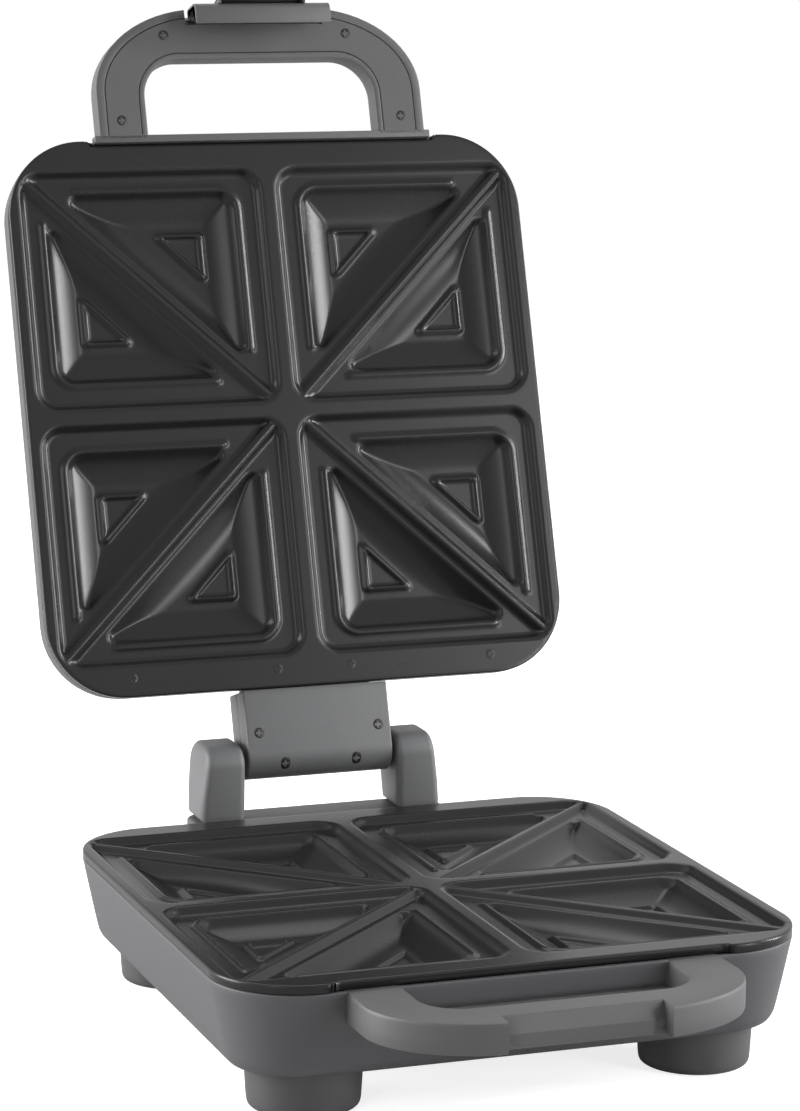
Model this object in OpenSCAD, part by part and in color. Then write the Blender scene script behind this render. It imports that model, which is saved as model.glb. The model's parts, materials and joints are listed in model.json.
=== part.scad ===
// Four-slice sandwich toaster, drawn with its lid open
// Z = 0 is the table, Y runs from the handles to the hinge, X is the width
// The middle of the open toaster stands over the origin

/* [Lid] */
// Angle between the lid and its closed place, in degrees
lid_open = 108; // [90:1:112]
// Height of the hinge axis above the table
hinge_z = 94.7; // [92:0.1:98]
// Distance of the hinge axis behind the back edge of the plates
hinge_back = 34; // [32:0.5:38]
// Gap between the two plates when the lid is closed
plate_gap = 0.5; // [0.3:0.1:1.5]
// Depth of the lid shell behind its rim
lid_depth = 30; // [28:1:36]

/* [Plates] */
// Width of both plates
plate_width = 290; // [286:1:300]
// Depth of both plates
plate_depth = 300; // [298:1:306]
// Radius of the plate corners
plate_corner = 42; // [30:1:50]
// Height of the rim that shows between plate and shell
plate_rim = 4.5; // [4:0.5:6]
// Height of the lower plate's face above the table
plate_top = 69.5; // [68:0.5:72]
// Wall of the cast plates
plate_wall = 2.5; // [2:0.5:3]
// Land between neighbouring cells
cell_rib = 6.8; // [6:0.2:9]
// Land between a cell and the side edge of the plate
side_land = 5.6; // [5:0.1:9]
// Land between a cell and the front or back edge of the plate
end_land = 16; // [15:0.5:20]
// Corner radius of the cells
cell_corner = 13; // [8:1:16]
// Drop from the plate's face to the ledge of a cell
ledge_drop = 4; // [3:0.5:4.5]
// Drop from the ledge to the floor of a pocket
pocket_drop = 8; // [6:0.5:9]
// Distance of a pocket from the outline of its cell
pocket_inset = 16; // [15:0.5:18]
// Distance of a pocket from the crest of the dividing ridge
pocket_from_ridge = 8.2; // [7:0.2:10]
// Width of the dividing ridge at its foot
ridge_foot = 11; // [9:0.5:12]
// Drop of the ridge's crest below the plate's face
ridge_drop = 0.8; // [0.5:0.1:1.5]

/* [Body] */
// Height of the shell's bottom above the table
body_floor = 22; // [20:1:24]
// Wall of the moulded shells
shell_wall = 3; // [2.5:0.5:3.5]
// How far the base walls lean in at the bottom
body_lean = 9.5; // [7:0.5:11]
// How far the rear deck reaches behind the plates
deck_reach = 37; // [36:0.5:42]
// Width of the rear deck
deck_width = 140; // [139:1:150]
// Radius of the four feet
foot_radius = 28; // [24:1:30]
// Distance of the middle of a foot from the side edge of the plates
foot_side = 46.15; // [45:0.05:55]
// Distance of the middle of a foot from the front or back edge of the plates
foot_end = 42.7; // [40:0.1:55]

/* [Handles] */
// Half width of both handles
handle_half = 92.3; // [90:0.5:94]
// How far the lid handle reaches in front of the plates
handle_reach = 71.5; // [69:0.5:74]
// How far the base handle falls short of the lid handle
handle_step = 4; // [3:0.5:5]
// Half width of the grip opening
grip_half = 65.5; // [60:0.5:68]
// Width of the bar that the hand holds
grip_bar = 28; // [26:0.5:30]
// Thickness of the lid handle
lid_handle_thick = 17.5; // [16:0.5:20]
// Thickness of the base handle
base_handle_thick = 15; // [14:0.5:15]
// Gap between the two handles when the lid is closed
handle_gap = 1.5; // [1.2:0.1:2]

/* [Latch] */
// Half length of the latch clip
latch_half = 38.2; // [34:0.2:40]
// Overlap of the hook under the base handle
latch_hook = 1.2; // [1:0.1:2]
// Wall of the latch clip
latch_wall = 1.4; // [1.2:0.1:1.6]
// Radius of the latch pin
latch_pin_radius = 1.5; // [1.25:0.25:1.75]

/* [Hinge] */
// Half width of the hinge arm
arm_half = 40.5; // [36:0.5:44]
// Thickness of the hinge arm
arm_thick = 26; // [24:0.5:28]
// Gap between the arm and each post
post_gap = 2; // [1.5:0.1:3]
// Width of each hinge post
post_width = 25; // [20:0.5:26]
// Radius of the hinge pins
hinge_pin_radius = 3; // [2.5:0.25:3.5]

/* [Fits] */
// Play between a turning pin and its bore
pin_play = 0.05; // [0.03:0.01:0.1]
// Gap between pieces that only lie next to each other
part_gap = 0.3; // [0.2:0.05:0.5]
// Radius of the screw heads
screw_head = 3.2; // [2.8:0.1:3.5]
// Radius of the screw shanks
screw_shank = 1.6; // [1.25:0.05:1.75]
// Radius of the heating tubes
heater_radius = 3.25; // [3:0.25:3.5]
// Radius of the hole for the mains cable
cable_hole = 4; // [3.5:0.25:4.5]

/* [Hidden] */
$fn = 48;
eps = 0.01;

// Heights that follow from the driving dimensions, with the lid closed
rim_z = plate_top - plate_rim;
lid_face = plate_top + plate_gap;
lid_rim = lid_face + plate_rim;
lid_top = lid_rim + lid_depth;
mirror_z = plate_top + lid_face;
floor_z = body_floor + shell_wall;
ledge_z = plate_top - ledge_drop;
pocket_z = ledge_z - pocket_drop;
plate_under = ledge_z - plate_wall;
front_y = -plate_depth / 2;
back_y = plate_depth / 2;
hinge_y = back_y + hinge_back;
foot_x = plate_width / 2 - foot_side;
foot_y = plate_depth / 2 - foot_end;
upper_under = mirror_z - plate_under;
set_back = 2.5;
flange_half = handle_half + 4.2;
lid_handle_z = rim_z + handle_gap;
handle_front = front_y - handle_reach;
base_handle_front = handle_front + handle_step;
base_handle_z = rim_z - base_handle_thick;
deck_back = back_y + deck_reach;
heater_z = pocket_z - plate_wall - part_gap - heater_radius;
reflector_gap = 3;
reflector_z = heater_z - heater_radius - reflector_gap;
reflector_wall = 0.8;

// Points and outlines
function arc(centre, radii, from, to, steps) =
  [for (i = [0:steps]) let (a = from + (to - from) * i / steps)
    [centre[0] + radii[0] * cos(a), centre[1] + radii[1] * sin(a)]];

function round_box(x, y, r, steps = 10) = concat(
  arc([x - r, y - r], [r, r], 0, 90, steps),
  arc([r - x, y - r], [r, r], 90, 180, steps),
  arc([r - x, r - y], [r, r], 180, 270, steps),
  arc([x - r, r - y], [r, r], 270, 360, steps));

function unit(v) = v / norm(v);
function turn_of(v) = atan2(v[1], v[0]);
function short_way(a) = a > 180 ? a - 360 : a < -180 ? a + 360 : a;

// Arc that rounds one corner of a polygon with radius r
function round_corner(before, corner, after, r, steps) =
  let (u = unit(before - corner), v = unit(after - corner),
    half = acos(u * v) / 2,
    centre = corner + unit(u + v) * r / sin(half),
    start = turn_of(corner + u * r / tan(half) - centre),
    sweep = short_way(turn_of(corner + v * r / tan(half) - centre) - start))
  arc(centre, [r, r], start, start + sweep, steps);

function round_polygon(points, radii, steps = 4) =
  let (n = len(points))
  [for (i = [0:n - 1])
    for (q = round_corner(points[(i + n - 1) % n], points[i], points[(i + 1) % n], radii[i], steps)) q];

// Right triangle of a pocket, drawn about the point where its bisectors meet
cell_x = cell_rib / 2;
cell_width = plate_width / 2 - side_land - cell_x;
cell_depth = plate_depth / 2 - end_land - cell_x;
cell_far_x = cell_x + cell_width;
cell_far_y = cell_x + cell_depth;
ridge_start = [cell_x + 7.6, cell_x + 5.6];
ridge_end = [cell_far_x - 3.7, cell_far_y - 5];
ridge_way = unit(ridge_end - ridge_start);
ridge_slope = ridge_way[1] / ridge_way[0];
ridge_rise = pocket_from_ridge / ridge_way[0];
function ridge_y(x) = ridge_start[1] + (x - ridge_start[0]) * ridge_slope;
function ridge_x(y) = ridge_start[0] + (y - ridge_start[1]) / ridge_slope;

upper_corner = [cell_x + pocket_inset, cell_far_y - pocket_inset + 3];
lower_corner = [cell_far_x - pocket_inset + 1.4, cell_x + pocket_inset];
upper_pocket = [
  upper_corner,
  [upper_corner[0], ridge_y(upper_corner[0]) + ridge_rise],
  [ridge_x(upper_corner[1] - ridge_rise), upper_corner[1]]];
lower_pocket = [
  lower_corner,
  [lower_corner[0], ridge_y(lower_corner[0]) - ridge_rise],
  [ridge_x(lower_corner[1] + ridge_rise), lower_corner[1]]];
pocket_round = [9, 4.5, 4.5];

function side(a, b) = norm(a - b);
function centre_of(t) =
  let (a = side(t[1], t[2]), b = side(t[0], t[2]), c = side(t[0], t[1]))
  (a * t[0] + b * t[1] + c * t[2]) / (a + b + c);
function inradius(t) =
  let (a = side(t[1], t[2]), b = side(t[0], t[2]), c = side(t[0], t[1]))
  (b + c - a) / 2;

// Distance from the middle of the plates back to the middle of the open toaster
rest_middle = 40.6;

module at_rest() {
  translate([0, -rest_middle, 0]) children();
}

module in_lid() {
  translate([0, hinge_y, hinge_z]) rotate([-lid_open, 0, 0])
    translate([0, -hinge_y, -hinge_z]) children();
}

module each_corner(x, y) {
  for (sx = [-1, 1]) for (sy = [-1, 1]) translate([sx * x, sy * y, 0]) children();
}

module each_side(x) {
  for (sx = [-1, 1]) translate([sx * x, 0, 0]) children();
}

module slab(points, z0, z1) {
  translate([0, 0, z0]) linear_extrude(height = z1 - z0) polygon(points);
}

module box(x, y, z) {
  translate([x[0], y[0], z[0]]) cube([x[1] - x[0], y[1] - y[0], z[1] - z[0]]);
}

// Screw along Z with its head's flat top at z = 0 and its shank below
head_high = 1.8;

module screw(length, head = screw_head, shank = screw_shank) {
  difference() {
    union() {
      translate([0, 0, -head_high]) cylinder(r = head, h = head_high);
      translate([0, 0, -length]) cylinder(r = shank, h = length - head_high + eps);
    }
    for (turn = [0, 90]) rotate([0, 0, turn]) translate([-2, -0.4, -1.2]) cube([4, 0.8, 2]);
  }
}

// Room for a screw: its sunk head and its shank
module screw_room(length, head = screw_head, shank = screw_shank) {
  translate([0, 0, -head_high - part_gap]) cylinder(r = head + part_gap, h = 40);
  translate([0, 0, -length - 1]) cylinder(r = shank + pin_play, h = length + 1);
}

// Base shell: tub, rear deck and front handle in one moulding
tub_slices = [[0, rim_z], [body_lean * 0.76, body_floor + 8],
  [body_lean, body_floor + 3.5], [body_lean + 4.5, body_floor]];

module tub(inset, raise) {
  r = plate_corner;
  hull() {
    for (s = tub_slices) {
      in = s[0] + inset;
      slab(round_box(plate_width / 2 - in, plate_depth / 2 - in, r - in / 2, 8), s[1] + raise,
        s[1] + raise + eps);
    }
  }
}

handle_corner = [62, 46.5];
grip_round = 21;

// Ring outline of a handle, seen from above, between two insets
function handle_edge(front, inset) =
  let (half = handle_half - inset, high = handle_corner[1] - inset, wide = handle_corner[0] - inset)
  concat(
    [[half, front_y + 6]],
    arc([half - wide, front + inset + high], [wide, -high], 0, 90, 12),
    arc([wide - half, front + inset + high], [-wide, -high], 90, 0, 12),
    [[-half, front_y + 6]]);

module handle_ring(front, low, high, outer_inset = 0, inner_inset = 0, root = front_y) {
  gx = grip_half + inner_inset;
  gy = front + grip_bar - inner_inset;
  difference() {
    slab(handle_edge(front, outer_inset), low, high);
    translate([0, 0, low - 1]) linear_extrude(height = high - low + 2) {
      polygon(concat(
        arc([gx - grip_round, gy + grip_round], [grip_round, -grip_round], 0, 90, 8),
        arc([grip_round - gx, gy + grip_round], [-grip_round, -grip_round], 90, 0, 8),
        [[-gx, front_y - 4 + inner_inset], [gx, front_y - 4 + inner_inset]]));
    }
    box([-handle_half - 1, handle_half + 1], [root, front_y + 10], [low - 1, high + 1]);
  }
}

recess_half = latch_half + 1.3;
recess_y = base_handle_front + 8;
recess_lead = 3;
recess_ledge = rim_z - 8;

module latch_recess() {
  translate([-recess_half, 0, 0]) rotate([90, 0, 90]) linear_extrude(height = 2 * recess_half) {
    polygon([
      [base_handle_front - 5, base_handle_z - 5], [recess_y, base_handle_z - 5],
      [recess_y, recess_ledge], [recess_y + recess_lead, rim_z + 0.1],
      [recess_y + recess_lead, rim_z + 5], [base_handle_front - 5, rim_z + 5]]);
  }
}

cover_thick = 2.5;
boss_radius = 5;
handle_screw_spots = [[handle_half - 40.3, grip_bar / 2 + 0.7], [handle_half - 12.8, handle_reach - 10]];
handle_screw_long = 9.5;

module at_handle_screws(front) {
  for (spot = handle_screw_spots) each_side(spot[0]) translate([0, front + spot[1], 0]) children();
}

plate_boss = [plate_width / 2 - 75, plate_depth / 2 - 18.5];
plate_screw_sunk = 1.5;
post_x = arm_half + post_gap + post_width / 2;
post_foot_y = [back_y + 15, deck_back - 7.5];
post_boss_high = 14;
post_screw_long = 27;
gland_z = 42;
deck_low = body_floor + 6;
deck_round = 9;
deck_overlap = 20;

function deck_outline(inset) =
  [for (q = round_box(deck_width / 2 - inset, (deck_reach + deck_overlap) / 2 - inset,
    deck_round - inset, 4))
    q + [0, back_y + (deck_reach - deck_overlap) / 2]];

module base_shell() {
  color("#5a5b5f") at_rest() difference() {
    union() {
      difference() {
        union() {
          tub(0, 0);
          slab(deck_outline(0), deck_low, rim_z);
          handle_ring(base_handle_front, base_handle_z, rim_z, 0, 0, front_y + 4);
        }
        tub(shell_wall, shell_wall);
        slab(deck_outline(shell_wall), deck_low + shell_wall, rim_z - shell_wall);
        handle_ring(base_handle_front, base_handle_z - 1, rim_z - shell_wall, shell_wall + 1,
          shell_wall + 1);
        handle_ring(base_handle_front, base_handle_z - 1, base_handle_z + cover_thick + part_gap,
          shell_wall, shell_wall, front_y + 1);
        latch_recess();
      }
      intersection() {
        handle_ring(base_handle_front, base_handle_z + cover_thick + part_gap, rim_z);
        union() {
          translate([0, 0, shell_wall + 1]) recess_backing();
          at_handle_screws(base_handle_front) translate([0, 0, base_handle_z])
            cylinder(r = boss_radius, h = 20);
        }
      }
      intersection() {
        tub(1, 0);
        union() {
          each_corner(plate_boss[0], plate_boss[1]) {
            translate([0, 0, body_floor]) cylinder(r = boss_radius + 1, h = plate_under - body_floor);
          }
          each_corner(foot_x, foot_y) translate([0, 0, body_floor])
            cylinder(r = boss_radius + 1, h = 12);
        }
      }
      each_side(post_x) for (y = post_foot_y) translate([0, y, rim_z - post_boss_high]) {
        cylinder(r = boss_radius, h = post_boss_high);
      }
    }
    latch_recess();
    at_handle_screws(base_handle_front) {
      translate([0, 0, base_handle_z]) mirror([0, 0, 1]) screw_room(handle_screw_long);
    }
    each_corner(plate_boss[0], plate_boss[1]) translate([0, 0, body_floor - 1]) {
      cylinder(r = screw_shank + pin_play, h = 60);
      cylinder(r = screw_head + part_gap, h = 1 + plate_screw_sunk + head_high + part_gap);
    }
    each_corner(foot_x, foot_y) translate([0, 0, body_floor - 1])
      cylinder(r = screw_shank + pin_play, h = 11);
    each_side(post_x) for (y = post_foot_y) {
      translate([0, y, rim_z - 20]) cylinder(r = screw_shank + pin_play, h = 30);
    }
    translate([0, deck_back + 1, gland_z]) rotate([90, 0, 0]) cylinder(r = gland_body, h = 12);
  }
}

// Block of the handle's inside that backs the latch recess
module recess_backing() {
  box([-recess_half - shell_wall, recess_half + shell_wall],
    [base_handle_front - 1, recess_y + recess_lead + shell_wall], [base_handle_z - 10, rim_z]);
}

module base_handle_cover() {
  color("#4c4d51") at_rest() difference() {
    handle_ring(base_handle_front, base_handle_z, base_handle_z + cover_thick,
      shell_wall + part_gap, shell_wall + part_gap, front_y + 1 - part_gap);
    box([-recess_half - part_gap, recess_half + part_gap],
      [base_handle_front - 1, recess_y + part_gap], [base_handle_z - 1, base_handle_z + 5]);
    at_handle_screws(base_handle_front) translate([0, 0, base_handle_z]) mirror([0, 0, 1])
      screw_room(handle_screw_long);
  }
}

module base_handle_screws() {
  color("#3c3c3e") at_rest() at_handle_screws(base_handle_front) {
    translate([0, 0, base_handle_z]) mirror([0, 0, 1]) screw(handle_screw_long - 0.5);
  }
}

// Feet, pads and the screws that hold the feet
foot_fillet = 2.6;
foot_taper = 1.2;
foot_seat = 7;
foot_screw_long = 16;
pad_radius = foot_radius - 6;
pad_thick = 2.5;

module foot(sx, sy) {
  color("#3f4043") at_rest() translate([sx * foot_x, sy * foot_y, 0]) difference() {
    rotate_extrude($fn = 72) polygon(concat(
      [[0, 1]],
      arc([foot_radius - foot_taper - foot_fillet, foot_fillet], [foot_fillet, foot_fillet], -38, 0, 4),
      [[foot_radius, body_floor - part_gap], [0, body_floor - part_gap]]));
    translate([0, 0, -1]) cylinder(r = pad_radius + part_gap, h = 1 + pad_thick);
    translate([0, 0, -1]) cylinder(r = screw_shank + pin_play, h = body_floor + 2);
    translate([0, 0, -1]) cylinder(r = screw_head + part_gap, h = body_floor - foot_seat + 1);
  }
}

module foot_front_left() { foot(-1, -1); }
module foot_front_right() { foot(1, -1); }
module foot_rear_left() { foot(-1, 1); }
module foot_rear_right() { foot(1, 1); }

module foot_pads() {
  color("#222224") at_rest() each_corner(foot_x, foot_y) cylinder(r = pad_radius, h = pad_thick);
}

module foot_screws() {
  color("#8a8c90") at_rest() each_corner(foot_x, foot_y)
    translate([0, 0, body_floor - foot_seat - head_high]) {
    mirror([0, 0, 1]) screw(foot_screw_long);
  }
}

// Cast cooking plate, drawn with its face up
steep = 4.5;
steep_share = 0.62;
wall_run = 15.5;

module pocket_cut(t, depth_top, depth, grow) {
  c = centre_of(t);
  r = inradius(t) + grow;
  points = [for (q = round_polygon(t, pocket_round)) (q - c) * r / inradius(t)];
  if (grow == 0) {
    translate([c[0], c[1], depth_top]) mirror([0, 0, 1]) {
      linear_extrude(height = depth * steep_share, scale = (r - steep) / r) polygon(points);
    }
    translate([c[0], c[1], depth_top - depth * steep_share + eps]) mirror([0, 0, 1]) {
      linear_extrude(height = depth * (1 - steep_share) + eps, scale = (r - wall_run) / (r - steep)) {
        polygon(points * (r - steep) / r);
      }
    }
    translate([c[0], c[1], depth_top]) linear_extrude(height = eps) polygon(points);
  } else {
    translate([c[0], c[1], depth_top]) mirror([0, 0, 1]) {
      linear_extrude(height = depth, scale = (r - wall_run) / r) polygon(points);
    }
  }
}

emboss_leg = 27;
emboss_wide = 5.5;
emboss_high = 1.5;
emboss_inset = 18.75;

// Raised triangle on a pocket's floor, its right angle towards the pocket's
module emboss(t, way) {
  corner = t[0] + [way[0] * emboss_inset, way[1] * emboss_inset];
  legs = [corner, corner + [0, way[1] * emboss_leg], corner + [way[0] * emboss_leg, 0]];
  inner = [for (q = legs) centre_of(legs) + (q - centre_of(legs)) * (1 - emboss_wide / inradius(legs) * 0.62)];
  translate([0, 0, pocket_z - eps]) linear_extrude(height = emboss_high + eps) difference() {
    polygon(round_polygon(legs, [4, 3, 3]));
    polygon(round_polygon(inner, [1.5, 1, 1], 2));
  }
}

// Low bead on the ledge along both legs of a pocket
module bead(t, way) {
  wide = 1.8;
  out = 2.2;
  short = 8;
  corner = t[0] - [way[0] * out, way[1] * out];
  high = ledge_drop * 0.4;
  far_y = t[1][1] - way[1] * short;
  far_x = t[2][0] - way[0] * short;
  translate([0, 0, ledge_z - eps]) linear_extrude(height = high) {
    polygon([corner, [far_x, corner[1]], [far_x, corner[1] + way[1] * wide],
      corner + [way[0] * wide, way[1] * wide], [corner[0] + way[0] * wide, far_y], [corner[0], far_y]]);
  }
}

module ridge() {
  length = side(ridge_start, ridge_end) + 8;
  high = ledge_drop - ridge_drop;
  translate([ridge_start[0] - 4 * ridge_way[0], ridge_start[1] - 4 * ridge_way[1], ledge_z - eps]) {
    rotate([90, 0, 90 + turn_of(ridge_way)]) linear_extrude(height = length) {
      polygon([[-ridge_foot / 2, 0], [ridge_foot / 2, 0], [0.5, high], [-0.5, high]]);
    }
  }
}

cell_points = [for (q = round_box(cell_width / 2, cell_depth / 2, cell_corner, 6))
  q + [cell_x + cell_width / 2, cell_x + cell_depth / 2]];

module quarters() {
  for (mx = [0, 1]) for (my = [0, 1]) mirror([mx, 0, 0]) mirror([0, my, 0]) children();
}

// How far the plate's underside stays inside the shell's wall
plate_inset = 3;

module cooking_plate() {
  in = shell_wall + plate_inset;
  difference() {
    union() {
      difference() {
        union() {
          difference() {
            slab(round_box(plate_width / 2, plate_depth / 2, plate_corner), rim_z + part_gap, plate_top);
            box([-flange_half - 1, flange_half + 1], [front_y - 1, front_y + set_back],
              [rim_z - 1, plate_top + 1]);
          }
          slab(round_box(plate_width / 2 - in, plate_depth / 2 - in, plate_corner - in),
            plate_under, rim_z + 1);
        }
        quarters() slab(cell_points, ledge_z, plate_top + 1);
      }
      quarters() {
        ridge();
        bead(upper_pocket, [1, -1]);
        bead(lower_pocket, [-1, 1]);
        pocket_cut(upper_pocket, plate_under + eps, pocket_drop, plate_wall);
        pocket_cut(lower_pocket, plate_under + eps, pocket_drop, plate_wall);
      }
    }
    quarters() {
      pocket_cut(upper_pocket, ledge_z, pocket_drop, 0);
      pocket_cut(lower_pocket, ledge_z, pocket_drop, 0);
    }
  }
  quarters() {
    emboss(upper_pocket, [1, -1]);
    emboss(lower_pocket, [-1, 1]);
  }
}

module lower_plate() {
  color("#2f2f31") at_rest() difference() {
    cooking_plate();
    each_corner(plate_boss[0], plate_boss[1]) translate([0, 0, plate_under - 1]) {
      cylinder(r = screw_shank + pin_play, h = 3);
    }
  }
}

module lower_plate_screws() {
  color("#8a8c90") at_rest() each_corner(plate_boss[0], plate_boss[1]) {
    translate([0, 0, body_floor + plate_screw_sunk]) mirror([0, 0, 1]) screw(plate_under - body_floor);
  }
}

// Heating tube: a rounded square loop under the pockets with two cold ends at the back
heater_half = plate_width / 2 - 77;
heater_round = 18;
tail_x = 22;

module heater_loop() {
  straight = heater_half - heater_round;
  tail = 34;
  each_side(heater_half) rotate([90, 0, 0]) cylinder(r = heater_radius, h = 2 * straight, center = true);
  translate([0, -heater_half, 0]) rotate([0, 90, 0])
    cylinder(r = heater_radius, h = 2 * straight, center = true);
  for (sx = [-1, 1]) {
    translate([sx * (tail_x + 8 + (straight - tail_x - 8) / 2), heater_half, 0]) rotate([0, 90, 0]) {
      cylinder(r = heater_radius, h = straight - tail_x - 8, center = true);
    }
    translate([sx * (tail_x + 8), heater_half + 8, 0]) rotate([0, 0, sx > 0 ? 180 : 270]) {
      rotate_extrude(angle = 90) translate([8, 0]) circle(r = heater_radius);
    }
    translate([sx * tail_x, heater_half + 8 + tail / 2, 0]) rotate([90, 0, 0]) {
      cylinder(r = heater_radius, h = tail, center = true);
    }
    for (sy = [-1, 1]) translate([sx * straight, sy * straight, 0]) {
      rotate([0, 0, sx > 0 ? (sy > 0 ? 0 : 270) : (sy > 0 ? 90 : 180)]) {
        rotate_extrude(angle = 90) translate([heater_round, 0]) circle(r = heater_radius);
      }
    }
  }
}

module lower_heater() {
  color("#77787a") at_rest() translate([0, 0, heater_z]) heater_loop();
}

// Straps that hold the tube up against the plate, with a leg down to the reflector
clamp_wide = 12;
clamp_wall = 1.2;

module heater_clamps() {
  gap = 0.1;
  r = heater_radius + gap;
  low = reflector_z + reflector_wall;
  for (sx = [-1, 1]) translate([sx * heater_half, 0, 0]) rotate([90, 0, 0]) {
    linear_extrude(height = clamp_wide, center = true) difference() {
      union() {
        translate([0, heater_z]) circle(r = r + clamp_wall);
        translate([-r - clamp_wall, low]) square([2 * (r + clamp_wall), heater_z - low]);
        translate([-r - 8, low]) square([2 * (r + 8), clamp_wall]);
      }
      translate([0, heater_z]) circle(r = r);
      translate([-r, low - 1]) square([2 * r, heater_z - low + 1]);
      translate([-r - clamp_wall - 1, heater_z + r - 1]) square([2 * (r + clamp_wall + 1), 10]);
    }
  }
}

module lower_heater_clamps() {
  color("#a4a6a8") at_rest() heater_clamps();
}

// Sheet tray that throws the heat back up
reflector_half = [plate_width / 2 - 27, plate_depth / 2 - 38];
reflector_foot = [reflector_half[0] - 28, reflector_half[1] - 28];

module reflector(floor_gap) {
  wall = reflector_wall;
  difference() {
    union() {
      box([-reflector_half[0], reflector_half[0]], [-reflector_half[1], reflector_half[1]],
        [reflector_z, reflector_z + wall]);
      for (sx = [-1, 1]) translate([sx * (reflector_half[0] - wall / 2), 0, reflector_z]) {
        translate([-wall / 2, -reflector_half[1], 0]) cube([wall, 2 * reflector_half[1], 10]);
      }
      each_corner(reflector_foot[0], reflector_foot[1]) translate([0, 0, reflector_z - floor_gap])
        cylinder(r = 4, h = floor_gap + eps);
    }
    each_side(heater_half) translate([0, 0, reflector_z - 1]) cylinder(r = 2, h = 3);
  }
}

module lower_reflector() {
  color("#b6b8ba") at_rest() reflector(reflector_z - floor_z);
}

// Bimetal thermostat pressed against the plate's middle rib
module thermostat() {
  translate([0, 0, plate_under - 9]) cylinder(r = 8, h = 9);
  translate([-7, -7, plate_under - 14]) cube([14, 14, 5.1]);
  for (x = [-4, 4]) translate([x - 2, -0.4, reflector_z + reflector_wall]) {
    cube([4, 0.8, plate_under - 14 - reflector_z - reflector_wall + eps]);
  }
}

module lower_thermostat() {
  color("#c9c2b2") at_rest() thermostat();
}

module thermal_fuse() {
  color("#b9bcc0") at_rest() translate([0, 40, reflector_z + reflector_wall]) {
    box([-12, 12], [-3, 3], [0, 2]);
    translate([0, 0, 4]) rotate([0, 90, 0]) cylinder(r = 2.4, h = 20, center = true);
  }
}

terminal_size = [40, 16, 12];
terminal_pitch = 13;
terminal_y = back_y + 6;
terminal_low = deck_low + shell_wall;

module terminal_block() {
  color("#e4e2da") at_rest() difference() {
    translate([0, terminal_y, terminal_low + terminal_size[2] / 2]) cube(terminal_size, center = true);
    for (x = [-terminal_pitch, 0, terminal_pitch])
      translate([x, terminal_y, terminal_low + terminal_size[2] / 2]) {
      cylinder(r = 1.5, h = terminal_size[2]);
      rotate([90, 0, 0]) cylinder(r = 2, h = 2 * terminal_size[1], center = true);
    }
  }
}

// Bush that grips the mains cable where it leaves the deck's back wall
gland_body = 7;
gland_collar = 9.5;

module cord_gland() {
  color("#2c2c2e") at_rest() translate([0, deck_back, gland_z]) rotate([-90, 0, 0]) difference() {
    union() {
      translate([0, 0, -9]) cylinder(r = gland_body - pin_play, h = 10);
      translate([0, 0, part_gap]) cylinder(r = gland_collar, h = 4);
      translate([0, 0, 4]) cylinder(r1 = gland_collar - 1.5, r2 = cable_hole + 2, h = 8);
    }
    translate([0, 0, -20]) cylinder(r = cable_hole, h = 40);
  }
}

// Hinge posts, with the bores for the pins
post_front = hinge_y - 24;
post_back = hinge_y + 11;
post_round = 10.9;

module hinge_post(sx) {
  low = rim_z;
  color("#57585c") at_rest() difference() {
    translate([sx * post_x - post_width / 2, 0, 0])
      rotate([90, 0, 90]) linear_extrude(height = post_width) {
      polygon(concat(
        [[post_front + 1.5, low], [post_back - 8, low]],
        [[post_back - 3, low + 16]],
        arc([hinge_y, hinge_z], [post_round, post_round], 0, 90, 8),
        arc([post_front + post_round, hinge_z], [post_round, post_round], 90, 180, 8)));
    }
    translate([sx * post_x, hinge_y, hinge_z]) rotate([0, 90, 0]) {
      cylinder(r = hinge_pin_radius + pin_play, h = post_width - 6, center = true);
      translate([0, 0, -sx * post_width / 2])
        cylinder(r = hinge_pin_radius + pin_play, h = 8, center = true);
    }
    for (y = post_foot_y) translate([sx * post_x, y, low - 1]) {
      cylinder(r = screw_shank + pin_play, h = 15);
    }
  }
}

module hinge_post_left() { hinge_post(-1); }
module hinge_post_right() { hinge_post(1); }

module post_screws() {
  color("#8a8c90") at_rest() each_side(post_x) for (y = post_foot_y) {
    translate([0, y, rim_z - post_boss_high - head_high]) {
    mirror([0, 0, 1]) screw(post_screw_long);
  }
  }
}

pin_in = 20;

module hinge_pins() {
  length = pin_in + post_gap + post_width - 4;
  color("#b4b7ba") at_rest() for (sx = [-1, 1]) {
    translate([sx * (arm_half - pin_in + length / 2), hinge_y, hinge_z]) rotate([0, 90, 0]) {
      cylinder(r = hinge_pin_radius, h = length, center = true);
    }
  }
}

// Lid shell
lid_slices = [[0, lid_rim], [1.6, lid_rim + 15.5], [3.5, lid_rim + 20.5],
  [8, lid_top - 4], [14, lid_top - 1], [20, lid_top]];

module lid_dome(inset, drop) {
  hull() {
    for (s = lid_slices) {
      in = s[0] + inset;
      slab(round_box(plate_width / 2 - in, plate_depth / 2 - in, plate_corner - in / 2, 8),
        s[1] - drop, s[1] - drop + eps);
    }
  }
}

lamp_x = 14;
lamp_y = front_y + 32;
lamp_spots = [[-lamp_x, lamp_y], [lamp_x, lamp_y]];
lamp_radius = 4;
lid_plate_screws = [[plate_width / 2 - 44.2, back_y - 10], [20.6, back_y - 10]];
lid_screw_long = 14;
arm_low = lid_rim - 1.8;

module at_lid_screws() {
  for (spot = lid_plate_screws) each_side(spot[0]) translate([0, spot[1], 0]) children();
}

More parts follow.
